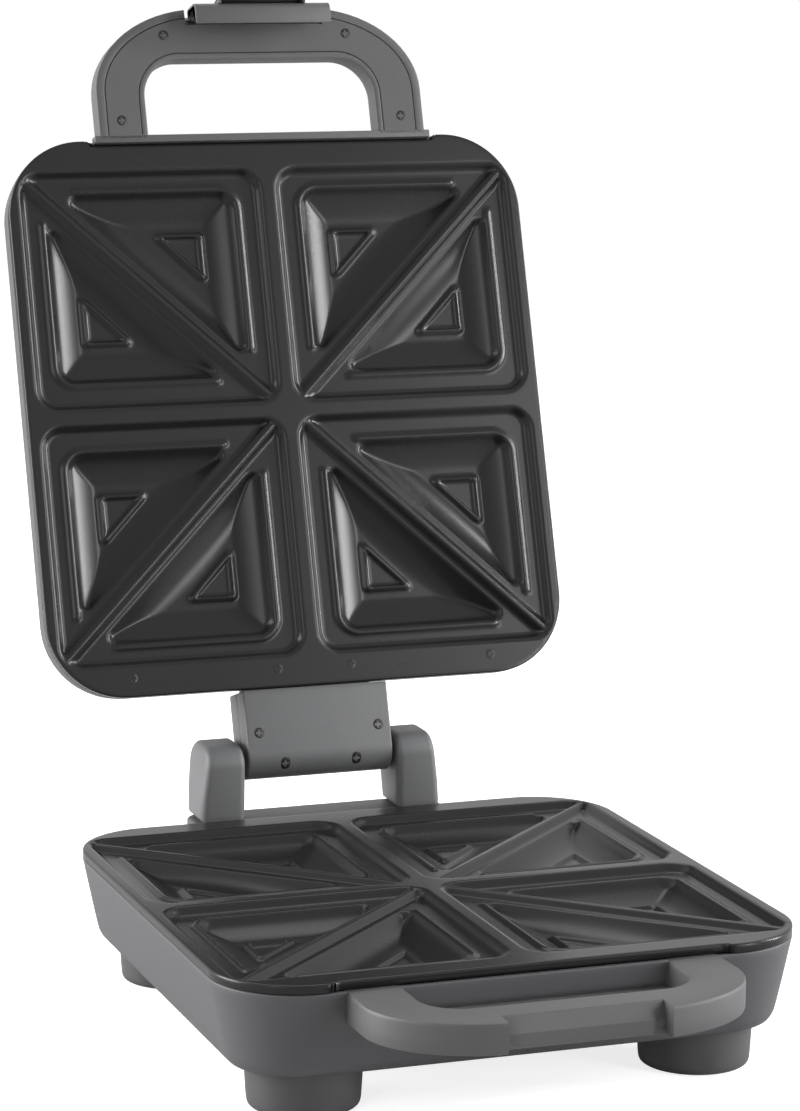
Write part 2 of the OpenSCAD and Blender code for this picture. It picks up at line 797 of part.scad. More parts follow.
module lid_shell() {
  color("#6b6c70") at_rest() in_lid() difference() {
    union() {
      difference() {
        lid_dome(0, 0);
        lid_dome(shell_wall, shell_wall);
      }
      intersection() {
        lid_dome(1, 0);
        at_lid_screws() translate([0, 0, upper_under]) cylinder(r = boss_radius, h = lid_depth);
      }
    }
    at_lid_screws() translate([0, 0, upper_under - 1]) cylinder(r = screw_shank + pin_play, h = 12);
    for (spot = lamp_spots) translate([spot[0], spot[1], lid_top - 10])
      cylinder(r = lamp_radius + part_gap, h = 20);
    box([-tenon_half - part_gap, tenon_half + part_gap], [back_y - tenon_in, back_y + 10],
      [tenon_low - part_gap, tenon_high + part_gap]);
  }
}

module upper_plate() {
  color("#2f2f31") at_rest() in_lid() difference() {
    translate([0, 0, mirror_z]) mirror([0, 0, 1]) cooking_plate();
    at_lid_screws() translate([0, 0, lid_face]) mirror([0, 0, 1]) screw_room(lid_screw_long);
  }
}

module upper_plate_screws() {
  color("#3c3c3e") at_rest() in_lid() at_lid_screws() translate([0, 0, lid_face]) mirror([0, 0, 1])
    screw(lid_screw_long);
}

module in_lid_mirror() {
  in_lid() translate([0, 0, mirror_z]) mirror([0, 0, 1]) children();
}

module upper_heater() {
  color("#77787a") at_rest() in_lid_mirror() translate([0, 0, heater_z]) heater_loop();
}

module upper_heater_clamps() {
  color("#a4a6a8") at_rest() in_lid_mirror() heater_clamps();
}

module upper_reflector() {
  color("#b6b8ba") at_rest() in_lid_mirror() reflector(reflector_z - (mirror_z - lid_top + shell_wall));
}

module upper_thermostat() {
  color("#c9c2b2") at_rest() in_lid_mirror() thermostat();
}

// Two lamps that shine through the lid, and the bracket that carries them
module lamp_holder() {
  color("#d8d5cc") at_rest() in_lid() difference() {
    box([-lamp_x - 10, lamp_x + 10], [lamp_y - 6, lamp_y + 6],
      [lid_top - shell_wall - 6, lid_top - shell_wall - 1.2]);
    for (spot = lamp_spots) translate([spot[0], spot[1], lid_top - 20]) cylinder(r = 2.5, h = 30);
  }
}

module lamp_lenses() {
  color("#a83a2c") at_rest() in_lid() for (spot = lamp_spots) translate([spot[0], spot[1], 0]) {
    translate([0, 0, lid_top - shell_wall - 1.2]) cylinder(r = lamp_radius + 1.5, h = 1);
    translate([0, 0, lid_top - shell_wall - 1.2]) cylinder(r = lamp_radius, h = shell_wall + 1.7);
  }
}

// Lid handle: a moulded bow with a cover on its underside
lid_handle_top = lid_handle_z + lid_handle_thick;
pivot_y = handle_front + 4.5;
pivot_z = lid_handle_z + 5.5;
notch_half = latch_half + 1;
notch_depth = 8.2;
notch_y = handle_front + notch_depth;
ear_from = latch_half * 0.6;
ear_to = latch_half * 0.76;
ear_radius = 3.6;

module latch_notch(z0, z1) {
  box([-notch_half, notch_half], [handle_front - 5, notch_y], [z0, z1]);
}

module latch_ears() {
  for (sx = [-1, 1]) translate([sx * (ear_from + ear_to) / 2, pivot_y, pivot_z]) rotate([0, 90, 0]) {
    cylinder(r = ear_radius, h = ear_to - ear_from, center = true);
    translate([-ear_radius, 0, -(ear_to - ear_from) / 2])
      cube([2 * ear_radius, notch_y - pivot_y + 1, ear_to - ear_from]);
  }
}

module lid_handle() {
  inner_low = lid_handle_z + cover_thick + part_gap;
  color("#6f7074") at_rest() in_lid() difference() {
    union() {
      difference() {
        union() {
          handle_ring(handle_front, lid_handle_z, lid_handle_top - 6, 0, 0, front_y - part_gap);
          handle_ring(handle_front, lid_handle_top - 6, lid_handle_top - 2.5, 1, 1, front_y - part_gap);
          handle_ring(handle_front, lid_handle_top - 2.5, lid_handle_top, 3.2, 3.2, front_y - part_gap);
          box([-flange_half, flange_half], [front_y - 2, front_y - part_gap],
            [lid_handle_z, lid_handle_top - 6]);
          box([-flange_half, flange_half], [front_y - 2, front_y + set_back - part_gap],
            [lid_handle_z, lid_rim - part_gap]);
        }
        handle_ring(handle_front, lid_handle_z - 1, inner_low, 4.8 - part_gap, 3.2 - part_gap,
          front_y + 0.5);
        handle_ring(handle_front, lid_handle_z, lid_handle_top - shell_wall, 7.5, 6, front_y - 3);
      }
      at_handle_screws(handle_front) translate([0, 0, inner_low])
        cylinder(r = boss_radius, h = lid_handle_thick - 5);
      box([-notch_half - shell_wall, notch_half + shell_wall], [handle_front + 1.5, notch_y + 2.5],
        [inner_low, lid_handle_top - 2]);
      for (sx = [-1, 1]) translate([sx * (notch_half + 2.5), pivot_y, pivot_z]) rotate([0, 90, 0]) {
        cylinder(r = ear_radius, h = 5, center = true);
      }
    }
    difference() {
      latch_notch(lid_handle_z - 1, lid_handle_top - 2);
      latch_ears();
    }
    at_handle_screws(handle_front) translate([0, 0, lid_handle_z]) mirror([0, 0, 1])
      screw_room(handle_screw_long);
    translate([0, pivot_y, pivot_z]) rotate([0, 90, 0]) {
      cylinder(r = latch_pin_radius + pin_play, h = 2 * notch_half + 8, center = true);
    }
  }
}

module lid_handle_cover() {
  color("#66676b") at_rest() in_lid() difference() {
    handle_ring(handle_front, lid_handle_z, lid_handle_z + cover_thick, 4.8, 3.2,
      front_y + 0.5 - part_gap);
    latch_notch(lid_handle_z - 1, lid_handle_z + 5);
    translate([0, pivot_y, pivot_z]) rotate([0, 90, 0])
      cylinder(r = ear_radius + part_gap, h = 100, center = true);
    at_handle_screws(handle_front) translate([0, 0, lid_handle_z]) mirror([0, 0, 1])
      screw_room(handle_screw_long);
  }
}

module handle_screws() {
  color("#3c3c3e") at_rest() in_lid() at_handle_screws(handle_front) {
    translate([0, 0, lid_handle_z]) mirror([0, 0, 1]) screw(handle_screw_long - 0.5);
  }
}

// Hinge arm between the lid shell and the posts, split at its middle
arm_mid = arm_low + arm_thick / 2;
arm_top = arm_low + arm_thick;
arm_front = back_y + part_gap;
tenon_half = arm_half - 4.5;
tenon_in = 12;
tenon_low = arm_mid + 1;
tenon_high = arm_top - 3;
arm_end = arm_thick / 2;
knuckle = 8;

module arm_half_profile(low) {
  points = low ?
    concat([[arm_front, arm_mid]], [[arm_front, arm_low]],
      arc([hinge_y, arm_mid], [arm_end, arm_end], -90, 0, 12)) :
    concat(arc([hinge_y, arm_mid], [arm_end, arm_end], 0, 90, 12),
      [[arm_front, arm_top], [arm_front, arm_mid]]);
  translate([-arm_half, 0, 0]) rotate([90, 0, 90]) linear_extrude(height = 2 * arm_half) polygon(points);
}

arm_flat_screw = [arm_half - 7, hinge_y - 10.6];
arm_flat_screw_long = 19;
arm_round_screw_x = arm_half - 20.5;
arm_round_screw_long = 4.5;

module hinge_arm() {
  color("#606165") at_rest() in_lid() difference() {
    union() {
      arm_half_profile(false);
      translate([0, hinge_y, hinge_z]) rotate([0, 90, 0])
        cylinder(r = knuckle, h = 2 * arm_half, center = true);
      box([-tenon_half, tenon_half], [back_y - tenon_in, arm_front + 1], [tenon_low, tenon_high]);
    }
    arm_cover_room(0);
    box([-tenon_half + 3, tenon_half - 3], [back_y - tenon_in - 1, hinge_y - 12],
      [tenon_low + 3, tenon_high - 3]);
    translate([0, hinge_y, hinge_z]) rotate([0, 90, 0]) {
      for (sx = [-1, 1]) translate([0, 0, sx * (arm_half - pin_in / 2 + 0.5)]) {
        cylinder(r = hinge_pin_radius + pin_play, h = pin_in + 1, center = true);
      }
    }
    each_side(arm_flat_screw[0]) translate([0, arm_flat_screw[1], arm_low]) {
      mirror([0, 0, 1]) screw_room(arm_flat_screw_long + 1);
    }
  }
}

// The cover's half of the arm, without the knuckle's space
module arm_cover_room(gap) {
  difference() {
    box([-arm_half - 1, arm_half + 1], [arm_front - 1, hinge_y + 30], [arm_low - 5, arm_mid - gap]);
    translate([0, hinge_y, hinge_z]) rotate([0, 90, 0]) {
      cylinder(r = knuckle + gap, h = 2 * arm_half + 4, center = true);
    }
  }
}

module hinge_arm_cover() {
  color("#595a5e") at_rest() in_lid() difference() {
    intersection() {
      arm_half_profile(true);
      arm_cover_room(part_gap);
    }
    box([-arm_half + 4, arm_half - 4], [arm_front - 1, hinge_y - 16], [arm_low + 3, arm_mid + 1]);
    each_side(arm_flat_screw[0]) translate([0, arm_flat_screw[1], arm_low]) {
      mirror([0, 0, 1]) screw_room(arm_flat_screw_long + 1);
    }
    arm_round_screws() screw_room(arm_round_screw_long + 0.5);
  }
}

module arm_round_screws() {
  turn = 30;
  each_side(arm_round_screw_x) translate([0, hinge_y, arm_mid]) {
    rotate([180 + turn, 0, 0]) translate([0, 0, arm_end - 0.3]) children();
  }
}

module arm_screws() {
  color("#3c3c3e") at_rest() in_lid() {
    each_side(arm_flat_screw[0]) translate([0, arm_flat_screw[1], arm_low]) {
      mirror([0, 0, 1]) screw(arm_flat_screw_long);
    }
    arm_round_screws() screw(arm_round_screw_long);
  }
}

// Latch clip on the lid handle: a bar whose hook reaches under the base handle
hook_z = base_handle_z - 0.4;
clip_front = base_handle_front - 2.5;
hook_tip = recess_y + latch_hook;
tab_half = latch_half * 0.642;
tab_out = 3;
clip_top = lid_handle_z - 2.2;

module clip_profile() {
  w = latch_wall;
  corner = 4;
  polygon(concat(
    [[hook_tip, hook_z], [hook_tip, hook_z - w]],
    arc([clip_front + corner, hook_z - w + corner], [-corner, -corner], 90, 0, 5),
    [[clip_front, clip_top], [pivot_y + 2, clip_top], [pivot_y + 2, clip_top - w],
      [clip_front + w, clip_top - w]],
    arc([clip_front + corner, hook_z - w + corner], [w - corner, w - corner], 0, 90, 5)));
}

module clip_web() {
  hull() {
    translate([pivot_y, pivot_z]) circle(r = 3.4);
    translate([clip_front, clip_top - latch_wall]) square([pivot_y + 2 - clip_front, latch_wall]);
  }
}

module along_x(from, to) {
  translate([from, 0, 0]) rotate([90, 0, 90]) linear_extrude(height = to - from) children();
}

module latch_clip() {
  web = latch_half / 9.55;
  color("#6a6b6f") at_rest() in_lid() difference() {
    union() {
      along_x(-latch_half, latch_half) clip_profile();
      for (x = [ear_from - 6, ear_to + 4]) each_side(x) along_x(-web / 2, web / 2) clip_web();
      difference() {
        box([-tab_half, tab_half], [clip_front - tab_out, clip_front + 0.5],
          [hook_z - latch_wall, clip_top]);
        box([-tab_half + latch_wall, tab_half - latch_wall],
          [clip_front - tab_out + latch_wall, clip_front + 1],
          [hook_z - 5, clip_top - 3.8]);
      }
    }
    box([-tab_half + latch_wall, tab_half - latch_wall],
      [clip_front - tab_out + latch_wall, clip_front + 7],
      [hook_z - 5, hook_z + 6]);
    translate([0, pivot_y, pivot_z]) rotate([0, 90, 0]) {
      cylinder(r = latch_pin_radius + pin_play, h = 2 * latch_half + 4, center = true);
    }
  }
}

module latch_pin() {
  color("#b4b7ba") at_rest() in_lid() translate([0, pivot_y, pivot_z]) rotate([0, 90, 0]) {
    cylinder(r = latch_pin_radius, h = 2 * notch_half + 6, center = true);
  }
}

module latch_spring() {
  color("#9fa1a4") at_rest() in_lid() translate([0, pivot_y, pivot_z]) rotate([0, 90, 0]) difference() {
    cylinder(r = latch_pin_radius + 1.3, h = 20, center = true);
    cylinder(r = latch_pin_radius + part_gap, h = 30, center = true);
  }
}

base_shell();
base_handle_cover();
base_handle_screws();
foot_front_left();
foot_front_right();
foot_rear_left();
foot_rear_right();
foot_pads();
foot_screws();
lower_plate();
lower_plate_screws();
lower_heater();
lower_heater_clamps();
lower_reflector();
lower_thermostat();
thermal_fuse();
terminal_block();
cord_gland();
hinge_post_left();
hinge_post_right();
post_screws();
hinge_pins();
lid_shell();
upper_plate();
upper_plate_screws();
upper_heater();
upper_heater_clamps();
upper_reflector();
upper_thermostat();
lid_handle();
lid_handle_cover();
handle_screws();
hinge_arm();
hinge_arm_cover();
arm_screws();
lamp_holder();
lamp_lenses();
latch_clip();
latch_pin();
latch_spring();
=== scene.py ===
import json
import math
import bmesh
import bpy
import numpy as np
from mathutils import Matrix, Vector


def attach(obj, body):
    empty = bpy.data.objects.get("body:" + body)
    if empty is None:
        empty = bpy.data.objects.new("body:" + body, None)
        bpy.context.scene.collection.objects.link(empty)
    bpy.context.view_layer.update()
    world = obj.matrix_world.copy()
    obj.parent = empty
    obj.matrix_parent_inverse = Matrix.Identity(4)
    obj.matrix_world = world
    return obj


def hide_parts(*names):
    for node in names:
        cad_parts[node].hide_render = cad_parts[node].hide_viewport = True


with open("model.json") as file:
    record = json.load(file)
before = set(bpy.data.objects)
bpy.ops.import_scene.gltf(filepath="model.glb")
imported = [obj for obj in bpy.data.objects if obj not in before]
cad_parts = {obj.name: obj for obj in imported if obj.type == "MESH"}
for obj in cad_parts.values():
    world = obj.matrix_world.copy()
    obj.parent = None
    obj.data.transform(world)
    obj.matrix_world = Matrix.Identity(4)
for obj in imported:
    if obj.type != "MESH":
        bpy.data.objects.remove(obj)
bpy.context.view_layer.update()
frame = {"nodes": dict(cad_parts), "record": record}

# Cooking plates: two alike cast aluminium plates with four cells, each split by a diagonal
# ridge into two deep triangular pockets, all under a satin black non-stick coating. Each
# drops into its shell and is held by screws. Sizes are in millimetres.
PLATE_X, PLATE_Y, PLATE_ROUND = 145.0, 150.0, 42.0
PLATE_FACE, PLATE_RIM, PLATE_WALL = 69.5, 4.2, 2.5
STEP_X, STEP_Y = 97.0, 147.5
MIRROR = 139.5
CELL_X, CELL_Y, CELL_ROUND = (3.4, 139.4), (3.4, 134.0), 13.0
LEDGE, LEDGE_RUN, POCKET = 4.0, 4.6, 8.0
RIDGE_FROM, RIDGE_TO = np.array([11.0, 9.0]), np.array([135.7, 129.0])
RIDGE_DROP, CREST_HALF, RIDGE_FOOT = 0.8, 0.45, 7.2
UPPER_CORNER, LOWER_CORNER = (19.4, 121.0), (124.8, 19.4)
LEGS, LEG_ENDS, LIP_ROUND = 188.0, (86.5, 86.0), 9.0
TRIANGLE_FROM, TRIANGLE_LEG, TRIANGLE_ROUND = (15.6, 19.5), 33.0, 3.4
BEAD_HIGH, RING_HIGH = 1.3, 1.8
COS_45 = 0.7071
REST_MIDDLE = 40.6
HINGE_Y, HINGE_Z, OPEN_ANGLE = 184.0, 94.7, math.radians(108)


def opened(p):
    """Points of the lid in its closed place, turned back about the hinge by the open angle."""
    y, z = p[..., 1] - HINGE_Y, p[..., 2] - HINGE_Z
    c, s = math.cos(OPEN_ANGLE), math.sin(OPEN_ANGLE)
    return np.stack([p[..., 0], HINGE_Y + y * c + z * s, HINGE_Z - y * s + z * c], axis=-1)


def ease(t):
    """Rises from 0 to 1 as t goes from 0 to 1, level at both ends."""
    t = np.clip(t, 0.0, 1.0)
    return t * t * (3.0 - 2.0 * t)


def round_least(a, b, r, cosine=0.0):
    """The lesser of the distances to two lines, with the corner between them rounded to radius r;
    the cosine is that of the corner's inner angle."""
    u, v = a - r, b - r
    at_corner = (u + cosine * v < 0) & (v + cosine * u < 0)
    away = np.sqrt(np.maximum(u * u + v * v + 2 * cosine * u * v, 0.0) / (1 - cosine * cosine))
    return np.where(at_corner, r - away, np.minimum(a, b))


def outline_depth(x, y, half_x, half_y, r):
    """Distance inside a rounded rectangle: the least distance to its sides, rounded at the corners."""
    return round_least(half_x - np.abs(x), half_y - np.abs(y), r)


def pocket_shape(sx, sy, sh, along):
    """Depth, in parts of the full drop, of a triangular pocket, from the distances sx and sy to its
    legs and sh to its long side. The leg walls fall steeply from the lip and run out towards the
    floor; the long wall is an even slope with a soft foot, widest at its middle; the corners are round."""
    leg_run, end_run, middle_run = 15.5, 7.5, 11.0
    u = np.maximum(round_least(sx, sy * 0.95, 6.0), 0.0)
    legs = 0.18 * (1.0 - np.exp(-u / 1.2)) + 0.82 * (1.0 - (1.0 - np.minimum(u / leg_run, 1.0)) ** 1.3)
    middle = 1.0 - (2.0 * np.clip(along, 0.0, 1.0) - 1.0) ** 2
    slope = 1.0 - (1.0 - np.clip(sh / (end_run + middle_run * middle), 0.0, 1.0)) ** 1.9
    lip = round_least(round_least(sx, sy, LIP_ROUND), sh, 4.2, COS_45)
    return np.clip(np.minimum(round_least(legs, slope, 0.1), lip * 0.15), 0.0, 1.0)


def plate_depth(x, y):
    """Depth of the cooking face below the plate's land at any x and y, the same in all four quarters:
    the cell's ledge, with the ridge left standing in it, and the fall of the two pockets, less the
    beads round the pockets and the triangles on their floors."""
    ax, ay = np.abs(x), np.abs(y)
    mid_x, mid_y = (CELL_X[0] + CELL_X[1]) / 2, (CELL_Y[0] + CELL_Y[1]) / 2
    half_x, half_y = (CELL_X[1] - CELL_X[0]) / 2, (CELL_Y[1] - CELL_Y[0]) / 2
    depth = LEDGE * ease(outline_depth(ax - mid_x, ay - mid_y, half_x, half_y, CELL_ROUND) / LEDGE_RUN)
    way = (RIDGE_TO - RIDGE_FROM) / np.linalg.norm(RIDGE_TO - RIDGE_FROM)
    across = -(ax - RIDGE_FROM[0]) * way[1] + (ay - RIDGE_FROM[1]) * way[0]
    crest = RIDGE_DROP + (LEDGE - RIDGE_DROP) * ease((np.abs(across) - CREST_HALF) / LEDGE_RUN)
    depth = np.minimum(depth, crest)
    for sx, sy, side in (
        (ax - UPPER_CORNER[0], UPPER_CORNER[1] - ay, 1.0),
        (LOWER_CORNER[0] - ax, ay - LOWER_CORNER[1], -1.0),
    ):
        depth = depth + POCKET * pocket_shape(sx, sy, side * across - RIDGE_FOOT, (sx - sy) / LEGS + 0.5)
        # low bead along both legs, highest at the pocket's lip, with sloping ends
        lip = round_least(sx, sy, LIP_ROUND)
        past_end = (np.maximum(sx, sy) - np.where(sx > sy, *LEG_ENDS)) / 3.5
        bead = ease((lip + 4.8) / 2.8) * (1.0 - ease((lip + 1.5) / 1.7)) * (1.0 - ease(past_end))
        depth = depth - BEAD_HIGH * bead
        # raised triangle on the pocket's floor
        ex, ey = sx - TRIANGLE_FROM[0], sy - TRIANGLE_FROM[1]
        slope = (TRIANGLE_LEG - ex - ey) * COS_45
        tri = round_least(round_least(ex, ey, TRIANGLE_ROUND), slope, TRIANGLE_ROUND, COS_45)
        ring = ease(tri / 2.4) * (1.0 - ease((tri - 3.3) / 1.3))
        depth = depth - RING_HIGH * ring
    return depth


def skin(grid, wrap_u=False, wrap_v=False):
    """Points and four-sided faces of a surface given as a grid of points, joined where it wraps."""
    n, m = grid.shape[:2]
    index = np.arange(n * m).reshape(n, m)
    if wrap_u:
        index = np.concatenate([index, index[:1]], axis=0)
    if wrap_v:
        index = np.concatenate([index, index[:, :1]], axis=1)
    faces = np.stack([index[:-1, :-1], index[1:, :-1], index[1:, 1:], index[:-1, 1:]], axis=-1).reshape(-1, 4)
    return grid.reshape(-1, 3), faces


def make(name, skins, material, body, nodes, lid=False, crease=34.0):
    """One closed mesh from several skins in millimetres, moved to the frame's origin: doubled points
    are merged, flat slivers dropped, and all faces turned outwards. A lid piece is given closed and
    is turned to its open place."""
    points, faces, start = [], [], 0
    for p, f in skins:
        points.append(np.asarray(p, float))
        faces.append(np.asarray(f) + start)
        start += len(p)
    points = np.concatenate(points)
    if lid:
        points = opened(points)
    points = (points - (0.0, REST_MIDDLE, 0.0)) * 0.001
    mesh = bpy.data.meshes.new(name)
    mesh.from_pydata(points.tolist(), [], [corners for f in faces for corners in f.tolist()])
    work = bmesh.new()
    work.from_mesh(mesh)
    bmesh.ops.remove_doubles(work, verts=work.verts, dist=2e-6)
    bmesh.ops.dissolve_degenerate(work, edges=work.edges, dist=1e-6)
    bmesh.ops.recalc_face_normals(work, faces=work.faces)
    if work.calc_volume(signed=True) < 0:
        bmesh.ops.reverse_faces(work, faces=work.faces)
    work.to_mesh(mesh)
    work.free()
    mesh.shade_smooth()
    mesh.set_sharp_from_angle(angle=math.radians(crease))
    piece = bpy.data.objects.new(name, mesh)
    bpy.context.scene.collection.objects.link(piece)
    mesh.materials.append(material)
    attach(piece, body)
    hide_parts(*nodes)


def moulded(name, colour, roughness, mottle, grain, lift, wear, metallic=0.0, specular=0.5):
    """A finish whose colour and gloss drift slowly over the surface, by the share mottle and by
    wear, with a fine grain of the given scale and lift pressed into it."""
    m = bpy.data.materials.new(name)
    m.use_nodes = True
    nodes, links = m.node_tree.nodes, m.node_tree.links
    shader = nodes["Principled BSDF"]
    place = nodes.new("ShaderNodeTexCoord")
    slow, fine = nodes.new("ShaderNodeTexNoise"), nodes.new("ShaderNodeTexNoise")
    slow.inputs["Scale"].default_value, slow.inputs["Detail"].default_value = 14.0, 5.0
    fine.inputs["Scale"].default_value, fine.inputs["Detail"].default_value = grain, 2.0
    tint, gloss = nodes.new("ShaderNodeMix"), nodes.new("ShaderNodeMapRange")
    relief = nodes.new("ShaderNodeBump")
    tint.data_type = "RGBA"
    tint.inputs[6].default_value = (*[c * (1 - mottle) for c in colour], 1)
    tint.inputs[7].default_value = (*[c * (1 + mottle) for c in colour], 1)
    gloss.inputs["To Min"].default_value = roughness - wear
    gloss.inputs["To Max"].default_value = roughness + wear
    relief.inputs["Strength"].default_value, relief.inputs["Distance"].default_value = lift, 0.001
    for node in (slow, fine):
        links.new(place.outputs["Object"], node.inputs["Vector"])
    links.new(slow.outputs["Fac"], tint.inputs[0])
    links.new(tint.outputs[2], shader.inputs["Base Color"])
    links.new(slow.outputs["Fac"], gloss.inputs["Value"])
    links.new(gloss.outputs["Result"], shader.inputs["Roughness"])
    links.new(fine.outputs["Fac"], relief.inputs["Height"])
    links.new(relief.outputs["Normal"], shader.inputs["Normal"])
    shader.inputs["Metallic"].default_value = metallic
    shader.inputs["Specular IOR Level"].default_value = specular
    return m


def notched(x, y):
    """Distance inside a plate's outline, which steps back a little in front of the handle's flange."""
    whole = outline_depth(x, y, PLATE_X, PLATE_Y, PLATE_ROUND)
    return np.minimum(whole, np.maximum(np.abs(x) - STEP_X, y + STEP_Y))


def onto_edge(x, y, inset):
    """Moves points near the outline onto the line that lies inset inside it, in three steps, each
    down the slope of the distance."""
    for _ in range(3):
        d = 0.05
        f = notched(x, y) - inset
        gx = (notched(x + d, y) - notched(x - d, y)) / (2 * d)
        gy = (notched(x, y + d) - notched(x, y - d)) / (2 * d)
        size = np.maximum(gx * gx + gy * gy, 0.25)
        x, y = x - f * gx / size, y - f * gy / size
    return x, y


def plate_skins():
    """The cooking face on a grid whose diagonals run with the ridges, cut at the outline, then rings
    down the rim and in under the plate, where the underside follows the pockets at the wall's thickness."""
    step = RIDGE_FROM[0] / 9.0
    rise = step * (RIDGE_TO[1] - RIDGE_FROM[1]) / (RIDGE_TO[0] - RIDGE_FROM[0])
    half = np.append(np.arange(0.0, PLATE_X - 0.3 * step, step), PLATE_X)
    side = np.arange(RIDGE_FROM[1] % rise, PLATE_Y - 0.3 * rise, rise)
    side = np.concatenate([[0.0], side, [PLATE_Y]])
    xs = np.concatenate([-half[:0:-1], half])
    ys = np.concatenate([-side[:0:-1], side])
    x, y = np.meshgrid(xs, ys, indexing="ij")
    bevel = 0.8
    faces = skin(np.stack([x, y, x * 0], axis=-1))[1]
    middle_x, middle_y = x.reshape(-1)[faces].mean(1), y.reshape(-1)[faces].mean(1)
    kept = faces[notched(middle_x, middle_y) > bevel]
    edges = np.sort(np.stack([kept, np.roll(kept, -1, axis=1)], axis=-1).reshape(-1, 2), axis=1)
    edges, count = np.unique(edges, axis=0, return_counts=True)
    rim = np.unique(edges[count == 1])
    x, y = x.reshape(-1), y.reshape(-1)
    x[rim], y[rim] = onto_edge(x[rim], y[rim], bevel)
    z = PLATE_FACE - plate_depth(x, y)
    z[rim] = PLATE_FACE
    along = (x[kept].mean(1) * y[kept].mean(1) > 0)[:, None]
    first = np.where(along, kept[:, [0, 1, 2]], kept[:, [0, 1, 3]])
    second = np.where(along, kept[:, [0, 2, 3]], kept[:, [1, 2, 3]])
    top = (np.stack([x, y, z], axis=-1), np.concatenate([first, second]))
    rim = rim[np.argsort(np.arctan2(y[rim], x[rim]))]
    rings = [np.stack([x[rim], y[rim], z[rim]], axis=-1)]
    edge = ((0.24, 0.24), (0.0, 0.8), (0.0, PLATE_RIM - 0.3), (0.3, PLATE_RIM), (6.5, PLATE_RIM))
    for inset, drop in edge:
        ex, ey = onto_edge(x[rim], y[rim], inset)
        rings.append(np.stack([ex, ey, ex * 0 + PLATE_FACE - drop], axis=-1))
    foot = rings[-1]
    for share in np.linspace(0.99, 0.0, 26) ** 0.9:
        ux, uy = foot[:, 0] * share, foot[:, 1] * share
        under = PLATE_FACE - np.maximum(plate_depth(ux, uy), LEDGE) - PLATE_WALL
        rings.append(np.stack([ux, uy, under], axis=-1))
    return [top, skin(np.stack(rings, axis=1), wrap_u=True)]


plate_coating = moulded("plate_coating", (0.0105, 0.0105, 0.011), 0.27,
                        mottle=0.1, grain=1400.0, lift=0.02, wear=0.03, specular=0.22)
lower = plate_skins()
make("plate_lower", lower, plate_coating, "base", ["lower_plate"], crease=60)
upper = [(p * (1, 1, -1) + (0, 0, MIRROR), f) for p, f in lower]
make("plate_upper", upper, plate_coating, "lid", ["upper_plate"], lid=True, crease=60)


# Lid and base shells: two deep mouldings in dark grey ABS with a fine matt grain. The
# walls lean in and run into the flat outer faces on full radii; the plates sit in them
# behind a narrow dark joint.
def rounded_path(half_x, half_y, r, arc_steps=18, side_steps=10):
    """Points once round a rounded rectangle, with the outward direction at each."""
    turn = np.radians(90.0) * np.arange(arc_steps + 1) / arc_steps
    centres = np.array([(1, 1), (-1, 1), (-1, -1), (1, -1)]) * (half_x - r, half_y - r)
    points, outward = [], []
    for k, c in enumerate(centres):
        way = np.stack([np.cos(turn + k * math.pi / 2), np.sin(turn + k * math.pi / 2)], axis=-1)
        points.append(c + r * way)
        outward.append(way)
        following = centres[(k + 1) % 4] + r * way[-1]
        step = np.arange(1, side_steps)[:, None] / side_steps
        points.append(points[-1][-1] + (following - points[-1][-1]) * step)
        outward.append(np.repeat(way[-1:], side_steps - 1, axis=0))
    return np.concatenate(points), np.concatenate(outward)


def shell_skin(half_x, half_y, r, profile):
    """A profile of (inset, height) pairs carried round a rounded rectangle; insets beyond the
    corner radius draw the outline in towards the middle, and the last ring closes to a point."""
    path, outward = rounded_path(half_x, half_y, r)
    rings = []
    for inset, height in profile:
        near = min(inset, r * 0.75)
        ring = path - outward * near
        share = 1.0 - (inset - near) / (half_x - near)
        rings.append(np.column_stack([ring * share, np.full(len(path), height)]))
    return skin(np.stack(rings, axis=1), wrap_u=True)


def curve_through(points, steps):
    """A smooth line through the given points, each stretch a cubic in equal steps whose ends run
    along the line between the points before and after."""
    p = np.array(points, float)
    q = np.concatenate([[2 * p[0] - p[1]], p, [2 * p[-1] - p[-2]]])
    t = (np.arange(steps) / steps)[:, None]
    runs = []
    for a, b, c, d in zip(q, q[1:], q[2:], q[3:]):
        bend, swing = 2 * a - 5 * b + 4 * c - d, 3 * b - a - 3 * c + d
        runs.append(0.5 * (2 * b + (c - a) * t + bend * t**2 + swing * t**3))
    return np.concatenate(runs + [p[-1:]])


shell_plastic = moulded("shell_plastic", (0.055, 0.055, 0.058), 0.5,
                        mottle=0.05, grain=2600.0, lift=0.16, wear=0.04, specular=0.35)

base_side = curve_through([
    (0, 64.2), (2.2, 53.5), (4.6, 42), (7.0, 31), (8.3, 26.6), (10.6, 23.4), (14.5, 22.05), (20, 22.0),
], 4)
base_profile = [
    (PLATE_X, 25.0), (60, 25.0), (13, 25.0), (11, 30.0), (3.2, 62.0),
    (3.0, 64.3), (2.6, 64.9), (1.0, 65.0), (0.35, 64.8), (0.07, 64.5),
    *base_side, (60, 22.0), (PLATE_X, 22.0),
]
base_skin = shell_skin(PLATE_X, PLATE_Y, PLATE_ROUND, base_profile)
make("base_tub", [base_skin], shell_plastic, "base", ["base_shell"])

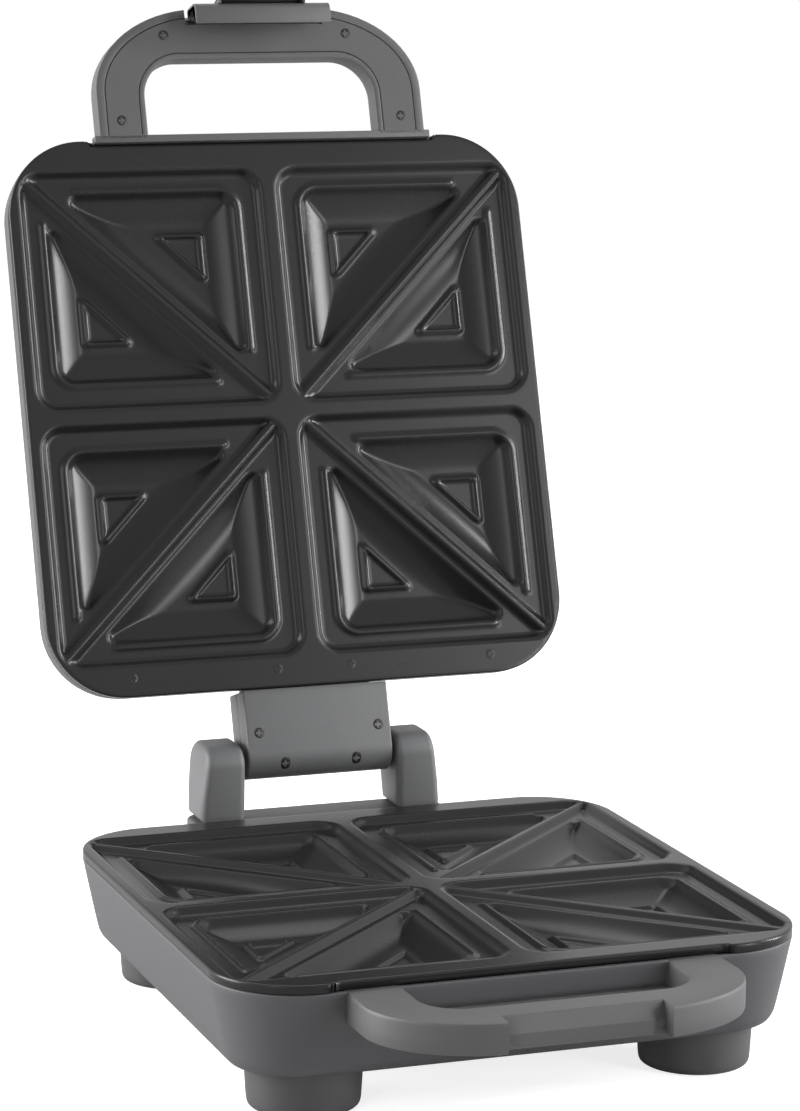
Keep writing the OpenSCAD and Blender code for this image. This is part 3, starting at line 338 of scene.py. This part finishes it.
lid_side = curve_through([
    (0, 75.2), (0.5, 82), (1.6, 90), (3.4, 95), (6.0, 98.8),
    (9.6, 101.6), (14.2, 103.5), (20, 104.4), (27, 104.5),
], 4)
lid_profile = [
    (PLATE_X, 101.4), (60, 101.4), (22, 101.2), (8, 96.0), (3.4, 84.0),
    (3.0, 75.0), (2.7, 74.6), (1.0, 74.5), (0.35, 74.65), (0.07, 74.9),
    *lid_side, (60, 104.5), (PLATE_X, 104.5),
]
lid_skin = shell_skin(PLATE_X, PLATE_Y, PLATE_ROUND, lid_profile)
make("lid_dome", [lid_skin], shell_plastic, "lid", ["lid_shell"], lid=True)


# Rear deck of the base shell: the shelf behind the plate that carries the hinge posts,
# moulded in one with the tub, with soft edges all round.
def soft_box(x, y, z, r, edge, arc_steps=5):
    """A box with upright edges of radius r and its top and bottom edges rounded to the edge radius:
    a rounded rectangle carried up, drawn in along quarter circles at its foot and its top."""
    turn = np.radians(np.linspace(0, 90, arc_steps + 1))
    low = [(edge * (1 - math.sin(a)), z[0] + edge * (1 - math.cos(a))) for a in turn]
    high = [(edge * (1 - math.cos(a)), z[1] - edge * (1 - math.sin(a))) for a in turn]
    half_x, half_y = (x[1] - x[0]) / 2, (y[1] - y[0]) / 2
    middle = ((x[0] + x[1]) / 2, (y[0] + y[1]) / 2)
    path, outward = rounded_path(half_x, half_y, r, arc_steps, 4)
    rings = []
    for inset, height in [(half_x, z[0])] + low + high + [(half_x, z[1])]:
        ring = path * 0.0 if inset == half_x else path - outward * inset
        rings.append(np.column_stack([ring + middle, np.full(len(path), height)]))
    return skin(np.stack(rings, axis=1), wrap_u=True)


deck = soft_box(x=(-70, 70), y=(138, 187), z=(28, 65), r=9.0, edge=1.6)
make("base_deck", [deck], shell_plastic, "base", ["base_shell"])


# Bow handles: each is a moulded bow with a grip opening, closed by a screwed cover that
# lies flush in its face. The base handle is one moulding with the tub and has a recess
# for the latch; the lid handle has a flange along the lid's edge.
def bow_lines(half, corner, front, grip_half, grip_front, grip_round, root, notch):
    """Outer and inner outline of a bow at matching stations. The legs run straight from the root,
    the outer corners are parts of an ellipse up to the notch, the inner ones quarter circles, and
    the front goes on along the ellipse and straight across."""
    leg = np.linspace(0, 1, 9)[:, None]
    turn = np.linspace(0, 1, 17)[1:]
    top_y, grip_y = front + corner[1], grip_front + grip_round
    outer = [np.array([(-half, root)]) * (1 - leg) + np.array([(-half, top_y)]) * leg]
    inner = [np.array([(-grip_half, root)]) * (1 - leg) + np.array([(-grip_half, grip_y)]) * leg]
    a = turn * math.acos((notch - (half - corner[0])) / corner[0])
    corner_x = -(half - corner[0]) - corner[0] * np.cos(a)
    outer.append(np.column_stack([corner_x, top_y - corner[1] * np.sin(a)]))
    b = turn * math.pi / 2
    grip_x = -(grip_half - grip_round) - grip_round * np.cos(b)
    inner.append(np.column_stack([grip_x, grip_y - grip_round * np.sin(b)]))
    front_x = np.concatenate([[-notch + 0.01, -notch + 0.35], np.linspace(-notch + 1.0, 0, 12)])
    reach = np.clip((np.abs(front_x) - (half - corner[0])) / corner[0], 0, 1)
    outer.append(np.column_stack([front_x, top_y - corner[1] * np.sqrt(1 - reach**2)]))
    inner.append(np.column_stack([front_x, front_x * 0 + grip_front]))
    halves = np.concatenate(outer), np.concatenate(inner)
    return [np.concatenate([q, (q * (-1, 1))[-2::-1]]) for q in halves]


def section(outer, inner):
    """The points round a bow's section, each an inset and a height: first those that are measured
    from the outer outline, then those from the inner one."""
    return [("outer", *q) for q in outer] + [("inner", *q) for q in inner]


def bow_skin(lines, whole, cut, cut_half):
    """A section carried along the bow: each of its points lies a given way in from the outer or
    the inner outline, towards the other, at a given height. The cut section takes its place
    within cut_half of the middle. The ends are closed with a flat web."""
    outer, inner = lines
    across = inner - outer
    across = across / np.linalg.norm(across, axis=1, keepdims=True)
    across[np.abs(outer[:, 0]) < cut_half + 0.02] = (0.0, 1.0)
    in_cut = (np.abs(outer[:, 0]) < cut_half - 0.02)[:, None]
    rows = []
    for pair in zip(whole, cut):
        drawn = []
        for line, inset, height in pair:
            flat = outer + inset * across if line == "outer" else inner - inset * across
            drawn.append(np.column_stack([flat, np.full(len(outer), float(height))]))
        rows.append(np.where(in_cut, drawn[1], drawn[0]))
    grid = np.stack(rows, axis=1)
    caps = []
    for end in (grid[0], grid[-1]):
        middle = np.repeat(end.mean(0)[None], len(end), axis=0)
        caps.append(skin(np.stack([end, middle], axis=0), wrap_v=True))
    return [skin(grid, wrap_v=True)] + caps


def carried(outline, stations):
    """A closed outline in Y and Z carried along X. A station is its place along X and how far the
    outline is drawn in there, against its own outward normals, which rounds the ends; both ends
    close to a point."""
    p = np.asarray(outline, float)
    before, after = p - np.roll(p, 1, axis=0), np.roll(p, -1, axis=0) - p
    before /= np.linalg.norm(before, axis=1, keepdims=True)
    after /= np.linalg.norm(after, axis=1, keepdims=True)
    normal = np.stack([before[:, 1] + after[:, 1], -before[:, 0] - after[:, 0]], axis=-1)
    normal /= np.maximum(1.0 + (before * after).sum(1), 0.3)[:, None]
    area = 0.5 * np.sum(p[:, 0] * np.roll(p[:, 1], -1) - p[:, 1] * np.roll(p[:, 0], -1))
    normal *= 1.0 if area > 0 else -1.0
    rings = []
    for x, draw in stations:
        q = p - normal * draw
        rings.append(np.column_stack([np.full(len(p), x), q]))
    ends = [np.repeat(r.mean(0)[None], len(p), axis=0) for r in (rings[0], rings[-1])]
    return skin(np.stack([ends[0]] + rings + [ends[1]], axis=0), wrap_v=True)


def round_ends(x0, x1, r, steps=5):
    """Stations from x0 to x1 whose insets follow a quarter circle of radius r at both ends."""
    turn = np.radians(np.linspace(0, 90, steps + 1))
    first = [(x0 + r * (1 - math.cos(a)), r * (1 - math.sin(a))) for a in turn]
    last = [(x1 - r * (1 - math.cos(a)), r * (1 - math.sin(a))) for a in turn[::-1]]
    return first + last


handle_plastic = moulded("handle_plastic", (0.062, 0.062, 0.064), 0.52,
                         mottle=0.05, grain=2600.0, lift=0.18, wear=0.04, specular=0.35)
cover_plastic = moulded("cover_plastic", (0.059, 0.059, 0.061), 0.54,
                        mottle=0.05, grain=2600.0, lift=0.18, wear=0.04, specular=0.35)

BOW_HALF, BOW_CORNER = 92.3, (62.0, 46.5)
RECESS_HALF, NOTCH_HALF, FLANGE_HALF = 39.5, 39.2, 95.2

base_lines = bow_lines(BOW_HALF, BOW_CORNER, front=-217.4, grip_half=65.8, grip_front=-190.0,
                       grip_round=20.0, root=-144.0, notch=RECESS_HALF)
base_outer = [
    (3.0, 52.6), (3.0, 50.1), (1.3, 50.0), (0.4, 50.4), (0.05, 51.2),
    (0.0, 57.0), (0.0, 63.0), (0.12, 64.0), (0.5, 64.7), (1.3, 65.0),
]
base_inner = [
    (1.3, 65.0), (0.5, 64.7), (0.12, 64.0), (0.0, 63.0), (0.0, 51.4),
    (0.4, 50.4), (1.3, 50.0), (3.0, 50.1), (3.0, 52.6),
]
recess_outer = [
    (11.0, 52.6), (11.0, 50.1), (9.2, 50.0), (8.4, 50.4), (8.1, 51.2),
    (8.0, 56.2), (7.9, 57.0), (8.3, 57.8), (10.6, 64.4), (11.4, 65.0),
]
base_whole, base_cut = section(base_outer, base_inner), section(recess_outer, base_inner)
base_skins = bow_skin(base_lines, base_whole, base_cut, RECESS_HALF)
make("base_bow", base_skins, handle_plastic, "base", ["base_shell"], crease=28)

lid_lines = bow_lines(BOW_HALF, BOW_CORNER, front=-221.5, grip_half=65.5, grip_front=-193.5,
                      grip_round=21.0, root=-150.4, notch=NOTCH_HALF)
lid_outer = [
    (4.6, 69.3), (4.6, 66.6), (4.3, 66.5), (0.8, 66.5), (0.15, 66.8),
    (0.0, 67.6), (0.0, 77.5), (0.8, 80.8), (2.6, 83.1), (5.6, 84.0),
]
lid_inner = [
    (5.6, 84.0), (2.6, 83.1), (0.8, 80.8), (0.0, 77.5), (0.0, 67.6),
    (0.15, 66.8), (0.8, 66.5), (2.7, 66.5), (3.0, 66.6), (3.0, 69.3),
]
notch_outer = [
    (8.4, 69.3), (8.35, 67.0), (8.3, 66.8), (8.2, 66.8), (8.2, 68.0),
    (8.2, 80.2), (1.2, 80.2), (0.9, 81.0), (2.6, 83.1), (5.6, 84.0),
]
lid_whole, lid_cut = section(lid_outer, lid_inner), section(notch_outer, lid_inner)
lid_skins = bow_skin(lid_lines, lid_whole, lid_cut, NOTCH_HALF)
# flange across the legs' roots, along the lid's edge
flange_line = [(-151.6, 66.5), (-148.1, 66.5), (-148.1, 73.9), (-152.0, 73.9), (-152.0, 67.0)]
flange = carried(flange_line, round_ends(-FLANGE_HALF, FLANGE_HALF, 0.5, 2))
make("lid_bow", lid_skins + [flange], handle_plastic, "lid", ["lid_handle"],
     lid=True, crease=28)

cover_inner = [(3.7, 66.5), (3.4, 66.8), (3.4, 69.1)]
cover_whole = section([(5.0, 69.1), (5.0, 66.8), (5.3, 66.5)], cover_inner)
cover_cut = section([(8.7, 69.1), (8.7, 66.9), (9.0, 66.5)], cover_inner)
make("lid_bow_cover", bow_skin(lid_lines, cover_whole, cover_cut, NOTCH_HALF), cover_plastic, "lid",
     ["lid_handle_cover"], lid=True, crease=28)


# Latch clip: a springy moulded bar that hangs in front of the lid handle on a steel pin.
# It wraps the base handle's recess and hooks under it; the tab in its middle is pulled
# to let the lid go.
def arc_points(cy, cz, r, start, end, steps=8):
    """Points in Y and Z along a circle about (cy, cz), from one angle in degrees to another."""
    a = np.radians(np.linspace(start, end, steps + 1))
    return np.column_stack([cy + r * np.cos(a), cz + r * np.sin(a)])


CLIP_HALF, TAB_HALF, TAB_INSIDE = 38.2, 24.6, 23.2
EARS, EAR_HALF = (17.0, 33.0), 2.0

clip_line = np.concatenate([
    [(-208.3, 49.6), (-208.3, 48.5), (-208.8, 48.2)],
    arc_points(-216.0, 52.2, 4.0, 270, 180, 7),
    [(-220.0, 56.0), (-220.0, 61.0)],
    arc_points(-218.3, 62.6, 1.7, 180, 90, 4),
    [(-214.9, 64.3), (-214.9, 62.9), (-218.2, 62.9), (-218.6, 62.5)],
    arc_points(-216.0, 52.2, 2.6, 180, 270, 7),
])
tab_front = np.concatenate([
    arc_points(-222.0, 49.3, 1.0, 270, 180, 3), [(-223.0, 52.0), (-222.2, 57.0), (-221.4, 63.2)],
    arc_points(-220.6, 63.3, 0.8, 180, 90, 3), [(-219.4, 64.1)],
])
tab_hollow = [(-219.4, 62.9), (-220.2, 62.6), (-221.0, 57.0), (-221.8, 52.0), (-221.8, 48.4)]
tab_line = np.concatenate([tab_front, tab_hollow])
tab_end = np.concatenate([tab_front, [(-219.4, 48.4)]])
ear_line = np.concatenate([[(-219.6, 62.9), (-215.4, 62.9)], arc_points(-217.0, 72.0, 3.4, 0, 180, 10)])

clip_skins = [
    carried(clip_line, round_ends(-CLIP_HALF, CLIP_HALF, 0.3, 2)),
    carried(tab_line, round_ends(-TAB_HALF, TAB_HALF, 0.5, 2)),
    carried(tab_end, round_ends(-TAB_HALF, -TAB_INSIDE, 0.5, 2)),
    carried(tab_end, round_ends(TAB_INSIDE, TAB_HALF, 0.5, 2)),
]
for middle in (side * x for x in EARS for side in (-1, 1)):
    clip_skins.append(carried(ear_line, round_ends(middle - EAR_HALF, middle + EAR_HALF, 0.3, 2)))
make("clip", clip_skins, handle_plastic, "latch", ["latch_clip"], lid=True, crease=30)


# Hinge arm and posts: the arm is two moulded halves screwed together, tenoned into the
# lid shell. It turns on steel pins between two hollow posts that stand on the deck and
# draw in slightly towards their rounded tops.
hinge_plastic = moulded("hinge_plastic", (0.092, 0.093, 0.095), 0.5,
                        mottle=0.05, grain=2600.0, lift=0.18, wear=0.04, specular=0.35)
ARM_HALF, ARM_Z, ARM_ROUND = 40.5, 85.7, 13.0
KNUCKLE_ROUND, POST_ROUND = 8.0, 10.9
POST_NEAR, POST_FAR, POST_FOOT, POST_LEAN = 42.5, 67.5, 65.05, 0.16

cover_line = np.concatenate([
    [(150.4, 85.55), (150.4, 72.7)], arc_points(HINGE_Y, ARM_Z, ARM_ROUND, 270, 360, 14)[:-1],
    [(HINGE_Y + ARM_ROUND, 85.55)],
])
arm_cover = carried(cover_line, round_ends(-ARM_HALF, ARM_HALF, 1.1, 4))
make("arm_cover", [arm_cover], hinge_plastic, "lid", ["hinge_arm_cover"], lid=True)

body_line = np.concatenate([
    arc_points(HINGE_Y, ARM_Z, ARM_ROUND, 0, 90, 14), [(150.4, 98.7), (150.4, 85.72)],
])
arm_body = carried(body_line, round_ends(-ARM_HALF, ARM_HALF, 1.1, 4))
knuckle_line = arc_points(HINGE_Y, HINGE_Z, KNUCKLE_ROUND, 0, 345, 23)
knuckle = carried(knuckle_line, round_ends(-ARM_HALF + 0.2, ARM_HALF - 0.2, 0.6, 3))
tenon_line = [(138, 88), (150.6, 88), (150.6, 95.5), (138, 95.5)]
tenon = carried(tenon_line, round_ends(-35.8, 35.8, 0.3, 2))
make("arm_body", [arm_body, knuckle, tenon], hinge_plastic, "lid", ["hinge_arm"], lid=True)


def post_skin(side):
    """A post's side outline carried across its width, rounded on its upright edges, flat on the
    deck, and drawn in on its outer side towards the top, in proportion to the way from its inner side."""
    line = np.concatenate([
        [(161.2, POST_FOOT), (160.6, 78.0)],
        arc_points(170.9, HINGE_Z, POST_ROUND, 180, 90, 10),
        arc_points(HINGE_Y, HINGE_Z, POST_ROUND, 90, 0, 10),
        [(193.6, 88.0), (191.4, 79.0), (187.4, POST_FOOT)],
    ])
    points, faces = carried(line, round_ends(POST_NEAR, POST_FAR, 4.2, 6))
    points[:, 2] = np.maximum(points[:, 2], POST_FOOT)
    points[:, 0] -= (points[:, 0] - POST_NEAR) * POST_LEAN * ease((points[:, 2] - 66.0) / 44.0)
    points[:, 0] *= side
    return points, faces


make("post_left", [post_skin(-1)], hinge_plastic, "base", ["hinge_post_left"])
make("post_right", [post_skin(1)], hinge_plastic, "base", ["hinge_post_right"])


# Feet: four round moulded cups, screwed up into the tub, each with a rubber pad let
# into its underside.
def turned(profile, x, y, steps=64):
    """A profile of radius and height turned once about an upright line through x and y."""
    a = np.radians(np.arange(steps) * 360.0 / steps)
    r, z = np.array(profile, float).T
    grid = np.stack([x + np.outer(np.cos(a), r), y + np.outer(np.sin(a), r), np.tile(z, (steps, 1))], axis=-1)
    return skin(grid, wrap_u=True)


foot_plastic = moulded("foot_plastic", (0.045, 0.045, 0.047), 0.5,
                       mottle=0.06, grain=2600.0, lift=0.16, wear=0.04, specular=0.35)
pad_rubber = moulded("pad_rubber", (0.02, 0.02, 0.02), 0.8, mottle=0.15, grain=1800.0, lift=0.2, wear=0.05)
FOOT_X, FOOT_Y, FOOT_TOP = 98.85, 107.3, 21.7
foot_side = curve_through([(23.8, 0.4), (25.6, 1.1), (26.6, 2.8), (27.1, 8.0), (27.9, FOOT_TOP)], 4)
foot_line = [(0.0, 2.7), (22.3, 2.7), (22.35, 0.5), (22.8, 0.25), *foot_side, (0.0, FOOT_TOP)]
for name, side, end in (
    ("front_left", -1, -1), ("front_right", 1, -1), ("rear_left", -1, 1), ("rear_right", 1, 1),
):
    foot = turned(foot_line, side * FOOT_X, end * FOOT_Y)
    make("foot_cup_" + name, [foot], foot_plastic, "base", ["foot_" + name])


# Screws: blackened pan-head steel screws with a cross recess, in the lid's plate, in the
# cover of the lid handle and in the hinge arm. The base handle's are CAD solids.
def screw_head(length):
    """A head seen as a disc of rings, falling by the cube of the radius towards its edge, with a
    cross sunk in its middle, and a plain shank below. It points up, its top at height 0."""
    r, high, shank = 3.5, 1.5, 1.6
    a = np.radians(np.arange(48) * 7.5)
    radii = np.concatenate([np.linspace(0, 2.2, 14), np.linspace(2.35, r, 6)])
    x, y = np.outer(np.cos(a), radii), np.outer(np.sin(a), radii)
    arm = np.minimum(np.abs(x), np.abs(y))
    cross = ease((0.7 - arm) / 0.25) * ease((1.95 - np.hypot(x, y)) / 0.3)
    z = -0.55 * (np.hypot(x, y) / r) ** 3 - 0.9 * cross
    side = [(r, -0.9), (r, -high), (shank, -high), (shank, -length), (0, -length)]
    x = np.column_stack([x] + [np.cos(a) * q[0] for q in side])
    y = np.column_stack([y] + [np.sin(a) * q[0] for q in side])
    z = np.column_stack([z] + [a * 0 + q[1] for q in side])
    return skin(np.stack([x, y, z], axis=-1), wrap_u=True)


def downwards(p, x, y, z, turn=0.0):
    """Moves an upright screw so that its head faces down at x, y, z, tipped about X by turn."""
    q = p * (1, -1, -1)
    c, s = math.cos(turn), math.sin(turn)
    q = np.column_stack([q[:, 0], q[:, 1] * c - q[:, 2] * s, q[:, 1] * s + q[:, 2] * c])
    return q + (x, y, z)


dark_screw = moulded("dark_screw", (0.016, 0.016, 0.017), 0.36,
                     metallic=0.6, mottle=0.2, grain=1500.0, lift=0.06, wear=0.08)
head, faces = screw_head(13.5)
in_plate = [(downwards(head, x, 140.0, 69.75), faces) for x in (-100.8, -20.6, 20.6, 100.8)]
make("screws_lid_plate", in_plate, dark_screw, "lid", ["upper_plate_screws"], lid=True)

head, faces = screw_head(8.8)
spots = [(side * x, y) for x, y in ((52.0, -206.8), (79.5, -160.0)) for side in (-1, 1)]
in_handle = [(downwards(head, x, y, 66.2), faces) for x, y in spots]
make("screws_lid_handle", in_handle, dark_screw, "lid", ["handle_screws"], lid=True)

in_arm = [(downwards(head, side * 33.5, 173.4, 72.4), faces) for side in (-1, 1)]
short, faces = screw_head(4.4)
tip, seat = math.radians(30), 13.2
seat_y, seat_z = HINGE_Y + seat * math.sin(tip), ARM_Z - seat * math.cos(tip)
in_arm += [(downwards(short, side * 20.0, seat_y, seat_z, tip), faces) for side in (-1, 1)]
make("screws_arm", in_arm, dark_screw, "lid", ["arm_screws"], lid=True)


# Everything that stays as the CAD has it: the heaters, their clamps and reflectors, the
# thermostats and wiring parts, pins, spring, pads, and the base's cover and screws. Each
# takes the finish of its name, of its material slot, or the shells' plastic.
finishes = {
    "foot_pads": pad_rubber,
    "cord_gland": pad_rubber,
    "base_handle_cover": cover_plastic,
    "base_handle_screws": dark_screw,
    "steel": moulded("steel", (0.5, 0.5, 0.51), 0.3,
                     metallic=1.0, mottle=0.08, grain=700.0, lift=0.04, wear=0.06),
    "heater_steel": moulded("heater_steel", (0.26, 0.24, 0.22), 0.42,
                            metallic=1.0, mottle=0.25, grain=300.0, lift=0.08, wear=0.1),
    "reflector_sheet": moulded("reflector_sheet", (0.68, 0.69, 0.7), 0.3,
                               metallic=1.0, mottle=0.06, grain=500.0, lift=0.05, wear=0.08),
    "ceramic": moulded("ceramic", (0.72, 0.69, 0.62), 0.6, mottle=0.06, grain=800.0, lift=0.1, wear=0.05),
    "lamp_red": moulded("lamp_red", (0.35, 0.012, 0.01), 0.15,
                        mottle=0.05, grain=900.0, lift=0.01, wear=0.03),
}
slots = {part["node"]: part["material_slot"] for part in frame["record"]["subparts"]}
for name, node in frame["nodes"].items():
    finish = finishes.get(name) or finishes.get(slots[name]) or shell_plastic
    node.data.materials.clear()
    node.data.materials.append(finish)


# Studio: a pale floor under an open white space, which the camera and mirrors see as
# white, with a large soft light on the left, a weak one behind and above, and tall
# narrow ones at the right and in front, whose reflections show in the plates.
floor_points = [(-6, -6, 0), (6, -6, 0), (6, 6, 0), (-6, 6, 0)]
floor_mesh = bpy.data.meshes.new("floor")
floor_mesh.from_pydata(floor_points, [], [(0, 1, 2, 3)])
floor = bpy.data.objects.new("floor", floor_mesh)
bpy.context.scene.collection.objects.link(floor)
paper = bpy.data.materials.new("paper")
paper.use_nodes = True
nodes, links = paper.node_tree.nodes, paper.node_tree.links
rays, glow = nodes.new("ShaderNodeLightPath"), nodes.new("ShaderNodeEmission")
matt, both = nodes["Principled BSDF"], nodes.new("ShaderNodeAddShader")
pick = nodes.new("ShaderNodeMixShader")
matt.inputs["Base Color"].default_value = (0.62, 0.62, 0.62, 1)
matt.inputs["Roughness"].default_value = 0.95
glow.inputs["Strength"].default_value = 0.78
links.new(matt.outputs["BSDF"], both.inputs[0])
links.new(glow.outputs["Emission"], both.inputs[1])
links.new(rays.outputs["Is Camera Ray"], pick.inputs["Fac"])
links.new(matt.outputs["BSDF"], pick.inputs[1])
links.new(both.outputs["Shader"], pick.inputs[2])
links.new(pick.outputs["Shader"], nodes["Material Output"].inputs["Surface"])
floor_mesh.materials.append(paper)

world = bpy.data.worlds.new("studio")
bpy.context.scene.world = world
world.use_nodes = True
nodes, links = world.node_tree.nodes, world.node_tree.links
sky, wall = nodes["Background"], nodes.new("ShaderNodeBackground")
pick, rays = nodes.new("ShaderNodeMixShader"), nodes.new("ShaderNodeLightPath")
sky.inputs["Color"].default_value, sky.inputs["Strength"].default_value = (0.75, 0.76, 0.78, 1), 0.4
wall.inputs["Color"].default_value, wall.inputs["Strength"].default_value = (1, 1, 1, 1), 1.0
seen, clear = nodes.new("ShaderNodeMath"), nodes.new("ShaderNodeMath")
seen.operation = clear.operation = "MAXIMUM"
links.new(rays.outputs["Is Camera Ray"], seen.inputs[0])
links.new(rays.outputs["Is Glossy Ray"], seen.inputs[1])
links.new(seen.outputs["Value"], clear.inputs[0])
links.new(rays.outputs["Is Transmission Ray"], clear.inputs[1])
links.new(clear.outputs["Value"], pick.inputs["Fac"])
links.new(sky.outputs["Background"], pick.inputs[1])
links.new(wall.outputs["Background"], pick.inputs[2])
links.new(pick.outputs["Shader"], nodes["World Output"].inputs["Surface"])


def soft_light(name, place, aim, size, power):
    """A rectangular lamp at a place, turned to face its aim; size is its width and height."""
    lamp = bpy.data.lights.new(name, "AREA")
    lamp.shape, lamp.size, lamp.size_y, lamp.energy = "RECTANGLE", size[0], size[1], power
    thing = bpy.data.objects.new(name, lamp)
    thing.location = place
    thing.rotation_mode = "QUATERNION"
    thing.rotation_quaternion = (Vector(aim) - Vector(place)).to_track_quat("-Z", "Y")
    bpy.context.scene.collection.objects.link(thing)


soft_light("light_left", (-2.2, 0.75, 0.8), (0, 0, 0.2), (1.4, 1.8), 140)
soft_light("light_back", (0.2, 1.3, 2.2), (0, 0, 0.1), (1.6, 1.0), 14)
soft_light("light_right", (1.9, -0.45, 0.75), (0, 0, 0.3), (0.3, 1.6), 64)
soft_light("light_front", (-1.4, -1.5, 1.1), (0, 0, 0.3), (0.35, 1.2), 9)
soft_light("light_low", (1.25, -1.7, 0.7), (0, 0, 0.3), (0.36, 1.4), 26)


# Camera at the height and side of the photograph, with its narrow view: its focal length
# is given in pixels of the photograph's frame.
FOCAL_PIXELS, FRAME_HEIGHT = 3783.41, 1111.0
camera = bpy.data.cameras.new("camera")
camera.sensor_fit = "VERTICAL"
camera.sensor_height = 24.0
camera.lens = camera.sensor_height * FOCAL_PIXELS / FRAME_HEIGHT
camera.clip_start, camera.clip_end = 0.1, 20.0
eye = bpy.data.objects.new("camera", camera)
eye.location = (-0.625481, -1.747809, 0.564416)
eye.rotation_euler = (1.391162, -0.005016, -0.342953)
bpy.context.scene.collection.objects.link(eye)
bpy.context.scene.camera = eye

scene = bpy.context.scene
scene.view_settings.view_transform = "Standard"
